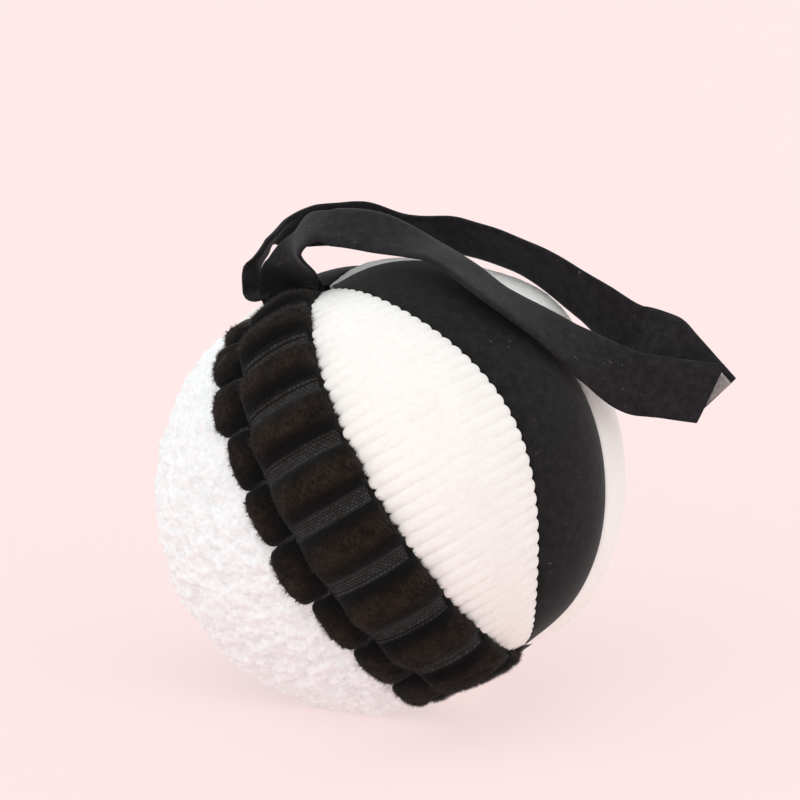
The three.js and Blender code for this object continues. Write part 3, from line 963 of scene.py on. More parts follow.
@dataclass
class Panel:
    """Stuffed cloth panel between two seams, smooth unless a kind of panel adds to it.

    Attributes:
        node: Node of the frame that it stands for.
        gore: Stretch of the ball that it covers.
        form: Form of the ball.
        finish: Its cloth.
        seed: Seed of its unevenness.
        rows: Rows of its grid, along the seams.
        columns: Columns of its grid, from seam to seam.
        cloth_thickness: Thickness of cloth and backing.
        edge_gap: Way that its edges stand in from the seams.
        edge_limits: Least and greatest share of its width that they do.
        second_edge: Share of the first edge's way that the second edge takes.
        seam_tuck: Depth that its edges turn in at the seams.
        swell: Share of the ball's full swell that it takes.
        wrinkle: Height of the slow unevenness of the stuffing.
        wrinkle_cell: Size of that unevenness.
        fill: How tight it is stuffed, from 0 to 1. Not used.
        pile: Fibres that stand on it.
        pile_floor: Least height of those fibres over the rest flat.
    """

    node: str
    gore: Gore
    form: BallForm
    finish: Finish
    seed: int
    rows: int = 160
    columns: int = 48
    cloth_thickness: float = 2 * MM
    edge_gap: float = 0.05 * MM
    edge_limits: tuple[float, float] = (-0.3, 0.4)
    second_edge: float = 1.0
    seam_tuck: float = 1.2 * MM
    swell: float = 1.0
    wrinkle: float = 0.25 * MM
    wrinkle_cell: float = 13 * MM
    fill: float = 0.85
    pile: Pile | None = None
    pile_floor: float = 0.05 * MM

    def edge_shift(self, length: Array) -> Array:
        """Way that the edges stand in from the seams, for each row's length along them."""
        return np.full_like(length, self.edge_gap)

    def relief(self, points: Array, length: Array, rise: Array) -> Array:
        """Height of the cloth's own relief over the swell.

        Args:
            points: Grid on the smooth swell, in the ball's own axes.
            length: Length along the middle of the panel, for each row.
            rise: Share of the swell, 0 at the seams and 1 in the middle.

        Returns:
            Heights on the grid.
        """
        return self.wrinkle * rise * lattice_noise(points, self.wrinkle_cell, self.seed)

    def surface(self) -> tuple[Array, Array, Array]:
        """Outer and inner faces of the panel.

        Across a row at place v the share is (1 - cos(pi v)) / 2 and the swell sin(pi v), half
        an ellipse that turns in steeply at both seams. The tuck is (1 - swell)^12.

        Returns:
            Outer grid, inner grid, and the cloth's millimetres and pile on the outer grid.
        """
        form = self.form
        along, length = form.even_rows(self.gore, self.rows)
        v = np.linspace(0, 1, self.columns)
        width = form.width(self.gore, form.turns(self.gore, 0.5, along))
        shift = self.edge_shift(length) / np.maximum(width, LEAST_WIDTH)
        first = np.clip(shift, *self.edge_limits)[:, None]
        second = first * self.second_edge
        share = first + (1 - first - second) * (1 - np.cos(np.pi * v)) / 2
        turn = form.turns(self.gore, np.clip(share, 0, 1), along[:, None])
        seat, outward = form.seat(self.gore, share, turn)
        rise = np.broadcast_to(np.sin(np.pi * v), share.shape)
        full = form.fullness(self.gore, np.clip(share, 0, 1), turn)
        height = self.swell * form.crown_height * full * rise
        smooth = seat + outward * height[..., None]
        height = height + self.relief(smooth, length, rise)
        edge = self.seam_tuck * (1 - rise) ** 12
        under = np.minimum(height, form.crown_height) - edge - self.cloth_thickness
        outer = seat + outward * (height - edge)[..., None]
        inner = seat + outward * under[..., None]
        across_mm = (share - 0.5) * width[:, None] / MM
        along_mm = np.broadcast_to(length[:, None] / MM, share.shape)
        return outer, inner, np.stack([across_mm, along_mm, np.ones_like(share)], axis=-1)

    def cover(self, cloth: Array) -> Array:
        """Share of fibres on the outer grid."""
        return cloth[..., 2]

    def build(self, wardrobe: Wardrobe) -> None:
        """Makes the closed panel and its fibres, and sets them on the frame.

        Args:
            wardrobe: Materials.
        """
        outer, inner, cloth = self.surface()
        outer, inner = self.form.placed(outer), self.form.placed(inner)
        outer[..., 2] = np.maximum(outer[..., 2], 0)
        inner[..., 2] = np.maximum(inner[..., 2], self.cloth_thickness / 2)
        rows, columns = outer.shape[:2]
        body = np.concatenate([outer, inner[:, ::-1]], axis=1)
        both = np.concatenate([cloth, cloth[:, ::-1]], axis=1)
        name = self.node.replace("panel_", "cloth_")
        piece = wardrobe.piece(name, body, loop_faces(rows, 2 * columns), self.finish, both)
        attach(piece, BALL_BODY)
        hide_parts(self.node)
        if self.pile is not None:
            spikes = self.pile.fibres(outer, grid_normals(outer), self.cover(cloth))
            vertices, faces, normals = spikes
            vertices[:, 2] = np.maximum(vertices[:, 2], self.pile_floor)
            name = self.node.replace("panel_", "pile_")
            fibres = wardrobe.piece(name, vertices, faces, self.finish, FULL_PILE, normals)
            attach(fibres, BALL_BODY)


@dataclass
class TerryPanel(Panel):
    """Panel of looped terry: soft tufts in three sizes.

    Attributes:
        tuft_height: Height of the tufts.
        tuft_cell: Size of the largest tufts.
        edge_share: Share of that height at the seams.
        edge_rise: Shares of the swell between which the tufts reach their height.
    """

    tuft_height: float = 1.3 * MM
    tuft_cell: float = 2.6 * MM
    edge_share: float = 0.2
    edge_rise: tuple[float, float] = (0.45, 0.75)

    def relief(self, points: Array, length: Array, rise: Array) -> Array:
        """Adds the tufts, 0.7 large + 0.5 small + 0.5 (0.4 - |fine|), to the unevenness.

        Args:
            points: Grid on the smooth swell, in the ball's own axes.
            length: Length along the middle of the panel, for each row.
            rise: Share of the swell, 0 at the seams and 1 in the middle.

        Returns:
            Heights on the grid.
        """
        large = lattice_noise(points, self.tuft_cell, self.seed + 1)
        small = lattice_noise(points, self.tuft_cell / 2, self.seed + 2)
        fine = lattice_noise(points, self.tuft_cell / 2.4, self.seed + 9)
        edge = between(self.edge_share, 1, smooth_step(rise, *self.edge_rise))
        tufts = 0.7 * large + 0.5 * small + 0.5 * (0.4 - np.abs(fine))
        return super().relief(points, length, rise) + self.tuft_height * edge * tufts


@dataclass
class CorduroyPanel(Panel):
    """Panel of wide-wale corduroy, its wales across the panel and bulging over the seams.

    Attributes:
        wale_pitch: Spacing of the wales.
        wale_height: Height of a wale over its groove.
        wale_ground: Share of a wale that lies under the smooth swell.
        wale_flat: Share by which the wales are lower in the middle of the panel.
        wander: Share of the pitch that a wale wanders aside.
        wander_cell: Length over which it does.
        bulge: Way that a wale stands out over the seam.
        tuck: Way that a groove draws in from the seam.
        nap: Height of the unevenness of the nap.
        nap_cell: Size of that unevenness.
    """

    wale_pitch: float = 3.15 * MM
    wale_height: float = 0.5 * MM
    wale_ground: float = 0.6
    wale_flat: float = 0.8
    wander: float = 0.12
    wander_cell: float = 9 * MM
    bulge: float = 1.0 * MM
    tuck: float = 0.5 * MM
    nap: float = 0.12 * MM
    nap_cell: float = 0.9 * MM

    def wale(self, length: Array) -> Array:
        """Height share of the wales, the 0.7th power of a rectified sine."""
        return np.abs(np.sin(np.pi * length / self.wale_pitch)) ** 0.7

    def edge_shift(self, length: Array) -> Array:
        """Draws the grooves in and pushes the wales out over the seam."""
        return self.tuck - (self.tuck + self.bulge) * self.wale(length)

    def relief(self, points: Array, length: Array, rise: Array) -> Array:
        """Adds the wales and the nap to the stuffing's unevenness.

        Args:
            points: Grid on the smooth swell, in the ball's own axes.
            length: Length along the middle of the panel, for each row.
            rise: Share of the swell, 0 at the seams and 1 in the middle.

        Returns:
            Heights on the grid.
        """
        aside = lattice_noise(points, self.wander_cell, self.seed + 3)
        wales = self.wale(length[:, None] + self.wander * self.wale_pitch * aside) - self.wale_ground
        fuzz = lattice_noise(points, self.nap_cell, self.seed + 4)
        low = super().relief(points, length, rise)
        strength = np.clip(rise * 2, 0, 1) * (1 - self.wale_flat * rise**2)
        return low + self.wale_height * wales * strength + self.nap * fuzz * rise


@dataclass
class VelourPanel(Panel):
    """Panel of velour: a fine, even nap, stuffed fuller above the middle of its length.

    Attributes:
        nap: Height of the unevenness of the nap.
        nap_cell: Size of that unevenness.
        extra: Height of the fuller place.
        extra_at: Way of that place along the ball's axis, above its middle.
        extra_reach: Half width of that place.
    """

    nap: float = 0.15 * MM
    nap_cell: float = 1.1 * MM
    extra: float = 3.3 * MM
    extra_at: float = 20 * MM
    extra_reach: float = 14 * MM

    def relief(self, points: Array, length: Array, rise: Array) -> Array:
        """Adds the nap and the fuller place, exp(-d^2), to the stuffing's unevenness.

        Args:
            points: Grid on the smooth swell, in the ball's own axes.
            length: Length along the middle of the panel, for each row.
            rise: Share of the swell, 0 at the seams and 1 in the middle.

        Returns:
            Heights on the grid.
        """
        fuzz = lattice_noise(points, self.nap_cell, self.seed + 5)
        past = (points[..., 2] - self.extra_at) / self.extra_reach
        fuller = self.extra * np.exp(-(past**2)) * rise
        low = super().relief(points, length, rise)
        return low + fuller + self.nap * fuzz * np.clip(rise * 2, 0, 1)


@dataclass
class RidgedPanel(Panel):
    """Panel of ridged plush: puffed ridges, bare channels and a rolled lip over a neighbour.

    Attributes:
        neighbour: Gore that the lip rolls over, at the first seam.
        neighbour_swell: Share of the full swell that the neighbour takes.
        ridge_count: Ridges along the panel.
        rows_per_ridge: Rows of the grid in a ridge.
        ridge_height: Height of a ridge.
        ridge_fade: Way from the slits in which ridges and lip fade out.
        channel_height: Height of a channel's ground.
        channel_share: Share of a ridge's pitch that the channel takes.
        notch_share: Share of a ridge's pitch that the notch between lobes takes.
        lip_reach: Way that the lip of a ridge reaches over the neighbour.
        lip_channel_reach: The same between the ridges.
        lip_height: Height of the lip's lobes.
        lip_uneven: Least and greatest share of its reach that a lobe takes.
        lip_clearance: Gap between the lip and the neighbour.
        lip_cover: Share of the lip's pile that its notches keep.
        lower_shade: Painted shade: share by which the pile share, and so the colour, falls on the lower
            side of a ridge.
        lower_part: Shares of a ridge's pitch between which it gets so.
        crease_shade: Painted shade: share by which it falls in the crease behind the lip.
        crease: Reach of that painted shade.
        grown_from: Share of the width from which pile hides the channels' ends.
        grown_cover: Pile there.
        fibre_cover: Shares of pile between which loose fibres set in.
        nap: Height of the unevenness of the pile.
        nap_cells: Sizes of that unevenness, each with its share of the height.
        inner_shares: Shares of the width at which the inner face starts and ends.
        lip_section: Shares of the lip's reach and height at its knots.
        ridge_section: Shares of the panel's width and of a ridge's height at its knots.
    """

    neighbour: Gore | None = None
    neighbour_swell: float = 0.05
    ridge_count: int = 10
    rows_per_ridge: int = 30
    ridge_height: float = 3.7 * MM
    ridge_fade: float = 9 * MM
    channel_height: float = 0.5 * MM
    channel_share: float = 0.15
    notch_share: float = 0.04
    lip_reach: float = 6.6 * MM
    lip_channel_reach: float = 4.4 * MM
    lip_height: float = 2.6 * MM
    lip_uneven: tuple[float, float] = (0.9, 1.2)
    lip_clearance: float = 0.8 * MM
    lip_cover: float = 0.7
    lower_shade: float = 0.35
    lower_part: tuple[float, float] = (0.45, 0.95)
    crease_shade: float = 0.4
    crease: float = 3.5 * MM
    grown_from: float = 0.9
    grown_cover: float = 0.7
    fibre_cover: tuple[float, float] = (0.4, 0.7)
    nap: float = 0.22 * MM
    nap_cells: Knots = ((1.3 * MM, 1.0), (3 * MM, 1.0), (7 * MM, 2.5))
    inner_shares: tuple[float, float] = (0.02, 0.98)
    lip_section: Knots = (
        (0.2, 0.0), (0.7, 0.05), (0.97, 0.3), (1.0, 0.62), (0.84, 0.95), (0.5, 1.05), (0.22, 0.85)
    )
    ridge_section: Knots = (
        (0.01, 0.6), (0.08, 0.9), (0.2, 1.05), (0.4, 1.08), (0.6, 1.08), (0.78, 1.0), (0.9, 0.82),
        (0.97, 0.5), (1.0, 0.05),
    )

    def surface(self) -> tuple[Array, Array, Array]:
        """Outer and inner faces of the panel.

        Each row carries a section of lip and ridge across, and the nap moves it outwards.

        Returns:
            Outer grid, inner grid, and the cloth's millimetres and pile on the outer grid.
        """
        form = self.form
        along = np.linspace(0, 1, self.ridge_count * self.rows_per_ridge + 1)
        turn = form.turns(self.gore, 0.5, along)
        middle, _ = form.seat(self.gore, 0.5, turn)
        to_ends = [np.linalg.norm(middle - middle[end], axis=1) for end in (0, -1)]
        fade = smooth_step(np.minimum(*to_ends), 0, self.ridge_fade)
        width = form.width(self.gore, turn)
        across, rise = self.section(along, fade, width)
        outer = self.on_ball(across, rise, turn)
        pile = self.pile_and_shade_share(along, fade, across, width)
        nap = sum(
            share * lattice_noise(outer, cell, self.seed + 6 + number)
            for number, (cell, share) in enumerate(self.nap_cells)
        )
        outer = outer + grid_normals(outer) * (self.nap * nap * pile)[..., None]
        shares = np.linspace(*self.inner_shares, self.columns)
        seat, outward = form.seat(self.gore, shares, turn[:, None])
        inner = seat - outward * self.cloth_thickness
        along_mm = np.broadcast_to(run_lengths(middle)[:, None] / MM, across.shape)
        return outer, inner, np.stack([across / MM, along_mm, pile], axis=-1)

    def wave(self, along: Array, gap: float) -> Array:
        """Half a sine over each pitch, 0 over the gap's share that is left round its ends."""
        phase = (along * self.ridge_count) % 1
        return np.sin(np.pi * np.clip((phase - gap / 2) / (1 - gap), 0, 1))

    def lobes(self, along: Array) -> Array:
        """Height share of the lip's lobes, sin(pi t)^0.25 between the notches."""
        return self.wave(along, self.notch_share) ** 0.25

    def section(self, along: Array, fade: Array, width: Array) -> tuple[Array, Array]:
        """Sections of lip and ridge, carried through their knots.

        Along the panel a ridge is sin(pi t)^0.6 between its channels.

        Args:
            along: Shares of the way along the panel, for each row.
            fade: Share of ridges and lip there.
            width: Width of the panel there.

        Returns:
            Ways across from the first seam, negative over the neighbour, and heights.
        """
        bump = self.wave(along, self.channel_share) ** 0.6
        lobe = self.lobes(along)
        uneven = np.random.default_rng(self.seed).uniform(*self.lip_uneven, self.ridge_count + 1)
        reach = self.lip_reach * uneven[(along * self.ridge_count).astype(int)]
        lip = between(self.lip_channel_reach, reach, lobe) * fade
        lip_top = self.channel_height + self.lip_height * lobe * fade
        top = self.channel_height + self.ridge_height * bump * fade
        lip_at, ridge_at = np.array(self.lip_section), np.array(self.ridge_section)
        place = np.concatenate([-np.outer(lip, lip_at[:, 0]), np.outer(width, ridge_at[:, 0])], axis=1)
        level = np.concatenate([np.outer(lip_top, lip_at[:, 1]), np.outer(top, ridge_at[:, 1])], axis=1)
        weights = blend_matrix(level.shape[1], np.linspace(0, 1, self.columns)).T
        return place @ weights, level @ weights

    def pile_and_shade_share(self, along: Array, fade: Array, across: Array, width: Array) -> Array:
        """Share of pile on the outer grid, sin(pi t)^0.8 over a ridge, lowered as painted shade on each
        ridge's lower side and in the crease behind the lip.

        Args:
            along: Shares of the way along the panel, for each row.
            fade: Share of ridges and lip there.
            across: Ways across from the first seam.
            width: Width of the panel, for each row.

        Returns:
            Shares from 0 for bare ground to 1, which the finish darkens where they fall.
        """
        crest = self.wave(along, self.channel_share)[:, None] ** 0.8
        phase = (along * self.ridge_count) % 1
        # Painted shade: less pile share on the lower side of each ridge, which the finish darkens.
        lower = 1 - self.lower_shade * smooth_step(phase, *self.lower_part)[:, None]
        share = across / np.maximum(width, LEAST_WIDTH)[:, None]
        grown = self.grown_cover * smooth_step(share, self.grown_from, 1)
        on_lip = self.lobes(along)[:, None] * between(self.lip_cover, 1, crest)
        pile = np.where(across < 0, on_lip, np.maximum(crest, grown) * lower)
        pile = 1 - (1 - pile) * fade[:, None]
        # Painted shade: less pile share in the crease behind the lip.
        return pile * (1 - self.crease_shade * (1 - smooth_step(np.abs(across), 0, self.crease)))

    def on_ball(self, across: Array, rise: Array, turn: Array) -> Array:
        """Points at a way across from the first seam and a height over the panel there.

        Args:
            across: Ways across, negative over the neighbour.
            rise: Heights.
            turn: Turn of each row.

        Returns:
            Positions.
        """
        turn = turn[:, None]
        outside = across < 0
        own_seat, own_out, own = self.bare(self.gore, across, turn)
        next_seat, next_out, over = self.bare(self.neighbour, across, turn, start=1)
        seat = np.where(outside[..., None], next_seat, own_seat)
        outward = np.where(outside[..., None], next_out, own_out)
        height = np.where(outside, self.neighbour_swell * over + self.lip_clearance, own)
        return seat + outward * (height + rise)[..., None]

    def bare(
        self, gore: Gore, across: Array, turn: Array, start: int = 0
    ) -> tuple[Array, Array, Array]:
        """Seats, outward directions and full swell of a gore, half an ellipse across it.

        Args:
            gore: Stretch of the ball.
            across: Ways across from one of its seams.
            turn: Turns along it.
            start: Share across it of that seam.

        Returns:
            Positions, unit vectors and heights.
        """
        form = self.form
        share = np.clip(start + across / np.maximum(form.width(gore, turn), LEAST_WIDTH), 0, 1)
        arch = np.sqrt(np.maximum(0, 4 * share * (1 - share)))
        swell = form.crown_height * form.fullness(gore, share, turn) * arch
        return *form.seat(gore, share, turn), swell

    def cover(self, cloth: Array) -> Array:
        """Keeps the fibres on the ridges and off the channels."""
        return smooth_step(cloth[..., 2], *self.fibre_cover)


@dataclass
class FillingWad:
    """Wad of fibre filling inside the panels.

    Attributes:
        form: Form of the ball.
        clearance: Way inside the seam ellipsoid.
        lump: Height of its lumps.
        lump_cell: Size of its lumps.
        seed: Seed of its lumps.
        rows: Rows of its grid, from pole to pole.
        columns: Columns of its grid, round the axis.
        pole_gap: Turn that is left open at each pole, in radians.
        fill: How tight it is, from 0 to 1. Not used.
    """

    form: BallForm
    clearance: float = 6 * MM
    lump: float = 1.2 * MM
    lump_cell: float = 11 * MM
    seed: int = 21
    rows: int = 49
    columns: int = 96
    pole_gap: float = 0.02
    fill: float = 0.8

    def build(self, wardrobe: Wardrobe) -> None:
        """Makes the wad: an ellipsoid of latitude and bearing with noise on its radius.

        Args:
            wardrobe: Materials.
        """
        latitude = np.linspace(self.pole_gap, np.pi - self.pole_gap, self.rows)[:, None]
        bearing = -np.linspace(0, 2 * np.pi, self.columns, endpoint=False)[None, :]
        level, height = np.sin(latitude), np.cos(latitude) * np.ones_like(bearing)
        ball = np.stack([level * np.sin(bearing), level * np.cos(bearing), height], axis=-1)
        sizes = np.array([self.form.seam_radius] * 2 + [self.form.half_height]) - self.clearance
        lumps = self.lump * lattice_noise(ball * sizes, self.lump_cell, self.seed)
        points = self.form.placed(ball * (sizes + lumps[..., None]))
        faces = loop_faces(self.rows, self.columns)
        piece = wardrobe.piece("filling_wad", points, faces, FILLING_FIBRE)
        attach(piece, BALL_BODY)
        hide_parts("filling_core")


@dataclass(frozen=True)
class Station:
    """Place on the strap's route.

    Attributes:
        bearing: Degrees from the front towards +X, seen from the ball's centre.
        rise: Degrees above level.
        height: Millimetres over the seam radius.
        across: Direction across the band, from its left edge at the slit to its right one.
    """

    bearing: float
    rise: float
    height: float
    across: Point


@dataclass
class Band:
    """Flat band carried along a path.

    Attributes:
        points: Points of its path.
        across: Directions across it at those points.
        width: Its width.
        thickness: Its thickness.
        steps: Sections along it.
        wave: Height of the band's own waves.
        wave_cell: Size of those waves.
        edge_wave: Unevenness of its width.
        edge_cell: Length of that unevenness.
        edge_flat: Share of the way across that counts in it, so that both edges nearly agree.
        calm: Ways from an end between which waves and unevenness set in.
        slant: Way that its left edge runs on past its right one at the end.
        face_points: Points across each of its two faces.
        seed: Seed of the waves.
    """

    points: Array
    across: Array
    width: float
    thickness: float
    steps: int
    wave: float = 0.25 * MM
    wave_cell: float = 9 * MM
    edge_wave: float = 0.25 * MM
    edge_cell: float = 6 * MM
    edge_flat: float = 0.02
    calm: tuple[float, float] = (2 * MM, 14 * MM)
    slant: float = 0.0
    face_points: int = 18
    seed: int = 31

    def surface(self) -> tuple[Array, Array, Array]:
        """Loops of points round the band.

        A section is a flat oval: at a share s across, from -1 to 1, the half thickness is
        scaled by (1 - s^8)^(1/2). Waves move the whole section along its face.

        Returns:
            Loops, millimetres on the cloth, and each loop's length along the band.
        """
        fine = np.linspace(0, 1, PATH_SAMPLES)
        length = run_lengths(centripetal_curve(self.points, fine))
        run = np.linspace(0, length[-1], self.steps)
        place = np.interp(run, length, fine)
        middle = centripetal_curve(self.points, place)
        ahead = centripetal_curve(self.points, np.minimum(place + TANGENT_STEP, 1))
        behind = centripetal_curve(self.points, np.maximum(place - TANGENT_STEP, 0))
        tangent = unit(ahead - behind)
        across = square_to(centripetal_curve(self.across, place), tangent)
        face = np.cross(tangent, across)
        s = -np.cos(np.linspace(0, np.pi, self.face_points))
        half = np.sqrt(np.maximum(1 - s**8, 0.0)) * self.thickness / 2
        share = np.concatenate([s, s[::-1]])[None, :]
        depth = np.concatenate([half, -half])[None, :]
        calm = smooth_step(np.minimum(run, length[-1] - run), *self.calm)[:, None]
        flat = run[:, None, None] * (1.0, 0, 0) + share[..., None] * (0, self.width / 2, 0)
        wave = self.wave * lattice_noise(flat, self.wave_cell, self.seed) * calm
        ragged = lattice_noise(flat * (1, self.edge_flat, 1), self.edge_cell, self.seed + 1)
        edge = 1 + self.edge_wave / self.width * ragged * calm
        side = share * edge * self.width / 2
        near_end = smooth_step(run, length[-1] - self.width, length[-1])[:, None]
        cut = -self.slant / 2 * share * near_end
        loops = (
            middle[:, None]
            + tangent[:, None] * cut[..., None]
            + across[:, None] * side[..., None]
            + face[:, None] * (depth + wave)[..., None]
        )
        along_mm = np.broadcast_to(run[:, None] / MM, side.shape)
        return loops, np.stack([side / MM, along_mm, np.ones_like(side)], axis=-1), run


@dataclass
class StrapLoop:
    """Strap loop: sewn end in the slit, two layers up to a fold, two strips and a closure.

    Attributes:
        form: Form of the ball.
        slit_gore: Gore whose upper end lies along the slit.
        width: Width of the band.
        thickness: Thickness of one layer.
        layer_gap: Gap between the two layers.
        layer_steps: Sections along a layer.
        layer_seed: Seed of the waves of the layers, which each add their own side.
        sewn_lift: Way that the sewn end's foot stays clear of the cloth's inner face.
        sewn_rise: Way that the sewn end stands out of the slit.
        sewn_steps: Sections along the sewn end.
        stub_gap: Gap between fixed and moving lengths.
        stub_lead: Straight lead of a layer out of the slit.
        cloth_thickness: Thickness of the panels.
        tape_width: Width of the two tapes.
        tape_thickness: Thickness of a tape.
        tape_length: Length of a tape.
        tape_gap: Gap between tapes and strips.
        tape_steps: Sections along a tape.
        tape_wave: Height of a tape's waves.
        tape_edge: Unevenness of its width.
        hook_shift: Way from the closure's middle to the hook tape's, towards the end.
        loop_shift: The same for the loop tape.
        loop_drop: Way that the loop tape lies below the rear strip's middle.
        loop_slant: Way that its upper edge starts behind its lower one, below 0.
        closure_half: Half length of the flat run at the closure.
        closure_lead: Straight lead into it.
        closure_turn: Degrees that the rear strip is turned there.
        closure_shift: Way that the rear strip stands on past the front one.
        closure_lift: Way that it stands above it.
        foot_length: Length of a layer's foot, the piece before its strip.
        bend_steps: Ways from the fold at which that bend starts and ends. Not used.
        end_slant: Way that the front strip's lower edge ends before its upper one.
        fold_shade: Lengths along a layer between which the painted shade of its fold fades out.
        open_from: Point where the rear strip starts to open from the front one. Not used.
        open_to: Point from which it opens fully. Not used.
        fold: Middle of the fold that the loop lifts at.
        front_route: Route of the front layer from the slit to the closure.
        rear_route: Route of the rear layer.
        closure: Middle of the closure.
        closure_along: Direction along it, towards the strips' ends.
    """

    form: BallForm
    slit_gore: Gore
    width: float = 15 * MM
    thickness: float = 1.6 * MM
    layer_gap: float = 1.2 * MM
    layer_steps: int = 320
    layer_seed: int = 41
    sewn_lift: float = 0.4 * MM
    sewn_rise: float = 1.0 * MM
    sewn_steps: int = 8
    stub_gap: float = 0.35 * MM
    stub_lead: float = 1.2 * MM
    cloth_thickness: float = 2 * MM
    tape_width: float = 12 * MM
    tape_thickness: float = 1.0 * MM
    tape_length: float = 10.2 * MM
    tape_gap: float = 0.4 * MM
    tape_steps: int = 60
    tape_wave: float = 0.06 * MM
    tape_edge: float = 0.3 * MM
    hook_shift: float = -0.6 * MM
    loop_shift: float = 2.0 * MM
    loop_drop: float = 0.5 * MM
    loop_slant: float = -8 * MM
    closure_half: float = 7.5 * MM
    closure_lead: float = 3.5 * MM
    closure_turn: float = 40
    closure_shift: float = 3.8 * MM
    closure_lift: float = 3.8 * MM
    foot_length: float = 25 * MM
    bend_steps: tuple[float, float] = (-1.5 * MM, 3.5 * MM)
    end_slant: float = 5 * MM
    fold_shade: tuple[float, float] = (6 * MM, 11 * MM)
    open_from: Point = (-0.024, 0.0, 0.12)
    open_to: Point = (0.012, 0.0, 0.12)
    fold: Station = Station(-80, 63, 4.4, (0.8, 0.46, 0.37))
    front_route: tuple[Station, ...] = (
        Station(-74.7, 64.5, -0.1, (0.9, 0.05, 0.15)),
        Station(-71.5, 66.6, 3.4, (0.85, -0.5, 0.0)),
        Station(-67, 69.2, 9.4, (0.22, -0.96, 0.02)),
        Station(-60.5, 73, 12.4, (0.24, -0.88, -0.24)),
        Station(-51, 76, 11.4, (0.18, -0.85, -0.49)),
        Station(-17, 80, 9.4, (0.15, -0.81, -0.56)),
        Station(41, 72, 6.2, (0.0, -0.97, -0.24)),
        Station(50, 55.5, 5.0, (0.0, -0.96, -0.28)),
        Station(61, 44, 5.2, (0.03, -0.83, -0.56)),
        Station(67, 33, 8.0, (0.0, -0.63, -0.78)),
    )
    rear_route: tuple[Station, ...] = (
        Station(-82, 64.4, -0.1, (0.7, 0.6, 0.4)),
        Station(-90.5, 58.8, 1.6, (0.3, 0.92, 0.25)),
        Station(-93.4, 58.9, 5.8, (0.22, 0.95, 0.15)),
        Station(-97.5, 63.0, 9.2, (0.2, 0.93, 0.05)),
        Station(-103, 66.8, 11.4, (-0.25, 0.8, -0.52)),
        Station(-118, 72, 10.2, (-0.12, 0.63, -0.77)),
        Station(-152, 78, 8.8, (-0.08, 0.6, -0.8)),
        Station(155, 78, 7.6, (-0.06, 0.85, -0.52)),
        Station(122, 71, 7.9, (-0.08, 0.75, -0.65)),
        Station(101, 59, 9.2, (-0.12, 0.76, -0.64)),
        Station(89, 44, 11.4, (-0.2, 0.6, -0.77)),
        Station(83, 33, 16.0, (-0.38, 0.3, -0.87)),
    )
    closure: Station = Station(76, 21, 20.7, (0.43, 0.21, 0.88))
    closure_along: Point = (0.98, 0.1, -0.15)

    def __post_init__(self) -> None:
        """Works out the frames of the slit, the fold and the closure."""
        point, outward = self.form.seat(self.slit_gore, 0.5, 0.0)
        self.slit_point = self.form.placed(point)
        self.slit_out = self.form.lean() @ outward
        self.slit_along = square_to(self.form.lean() @ (1.0, 0, 0), self.slit_out)
        self.fold_point = self.over_ball(self.fold)
        self.fold_up = unit(self.fold_point - self.at_slit(self.sewn_rise))
        self.fold_across = square_to(unit(np.array(self.fold.across)), self.fold_up)
        self.flat_along = unit(np.array(self.closure_along))
        self.flat_across = square_to(unit(np.array(self.closure.across)), self.flat_along)
        self.flat_back = np.cross(self.flat_across, self.flat_along)

    def over_ball(self, station: Station) -> Array:
        """Position of a station, from its bearing, rise and height.

        Args:
            station: Place on the route.

        Returns:
            Position in the part's frame.
        """
        bearing, rise = np.radians([station.bearing, station.rise])
        out = self.form.seam_radius + station.height * MM
        way = (np.cos(rise) * np.sin(bearing), -np.cos(rise) * np.cos(bearing), np.sin(rise))
        return out * np.array(way) + (0, 0, self.form.centre_height)

    def at_slit(self, out: float) -> Array:
        """Point on the slit's middle line, a way out of it."""
        return self.slit_point + self.slit_out * out

    def flat_run(self, layer: Layer, depth: float, steps: Array) -> tuple[Array, Array]:
        """Straight run at the closure, turned and shifted for the rear layer.

        Args:
            layer: Layer that runs there.
            depth: Way from the closure's middle plane.
            steps: Places along the run.

        Returns:
            Points and directions across.
        """
        along, across = self.flat_along, self.flat_across
        middle = self.over_ball(self.closure) + self.flat_back * layer.value * depth
        if layer is Layer.REAR:
            turn = np.radians(self.closure_turn)
            middle = middle + along * self.closure_shift + across * self.closure_lift
            along, across = (
                along * np.cos(turn) - across * np.sin(turn),
                -along * np.sin(turn) - across * np.cos(turn),
            )
        points = middle + np.asarray(steps)[:, None] * along
        return points, np.tile(across, (len(points), 1))

    def layer_path(self, layer: Layer) -> tuple[Array, Array]:
        """Path of a layer out of the sewn end, over the fold and to the end of the closure.

        Args:
            layer: Layer of the strap.

        Returns:
            Points and directions across.
        """
        front = layer is Layer.FRONT
        route = self.front_route if front else self.rear_route
        offset = layer.value * (self.thickness + self.layer_gap) / 2
        aside = np.cross(self.slit_out, self.slit_along) * offset
        foot = self.sewn_rise - self.stub_gap
        depth = (self.tape_thickness + self.tape_gap) / 2
        depth += self.tape_thickness / 2 + self.tape_gap + self.thickness / 2
        ends = (-self.closure_half - self.closure_lead, -self.closure_half, 0, self.closure_half)
        flat_points, flat_across = self.flat_run(layer, depth, ends)
        points = [self.at_slit(foot) + aside, self.at_slit(foot + self.stub_lead) + aside]
        points += [*(self.over_ball(station) for station in route), *flat_points]
        across = [self.slit_along] * 2 + [unit(np.array(station.across)) for station in route]
        across += list(-flat_across if front else flat_across)
        return np.array(points), np.array(across)

    def cloth_piece(
        self, wardrobe: Wardrobe, name: str, loops: Array, cloth: Array, finish: Finish
    ) -> bpy.types.Object:
        """Makes a band's object, its faces turned outwards.

        Args:
            wardrobe: Materials.
            name: Name of the piece.
            loops: Loops of points round it.
            cloth: Millimetres on the cloth.
            finish: Its cloth.

        Returns:
            The object.
        """
        faces = loop_faces(*loops.shape[:2])
        over = np.cross(loops[0, 1] - loops[0, 0], loops[0, -2] - loops[0, 0])
        if np.sum(over * (loops[1, 0] - loops[0, 0])) > 0:
            faces = faces[:, ::-1]
        return wardrobe.piece(name, loops, faces, finish, cloth)

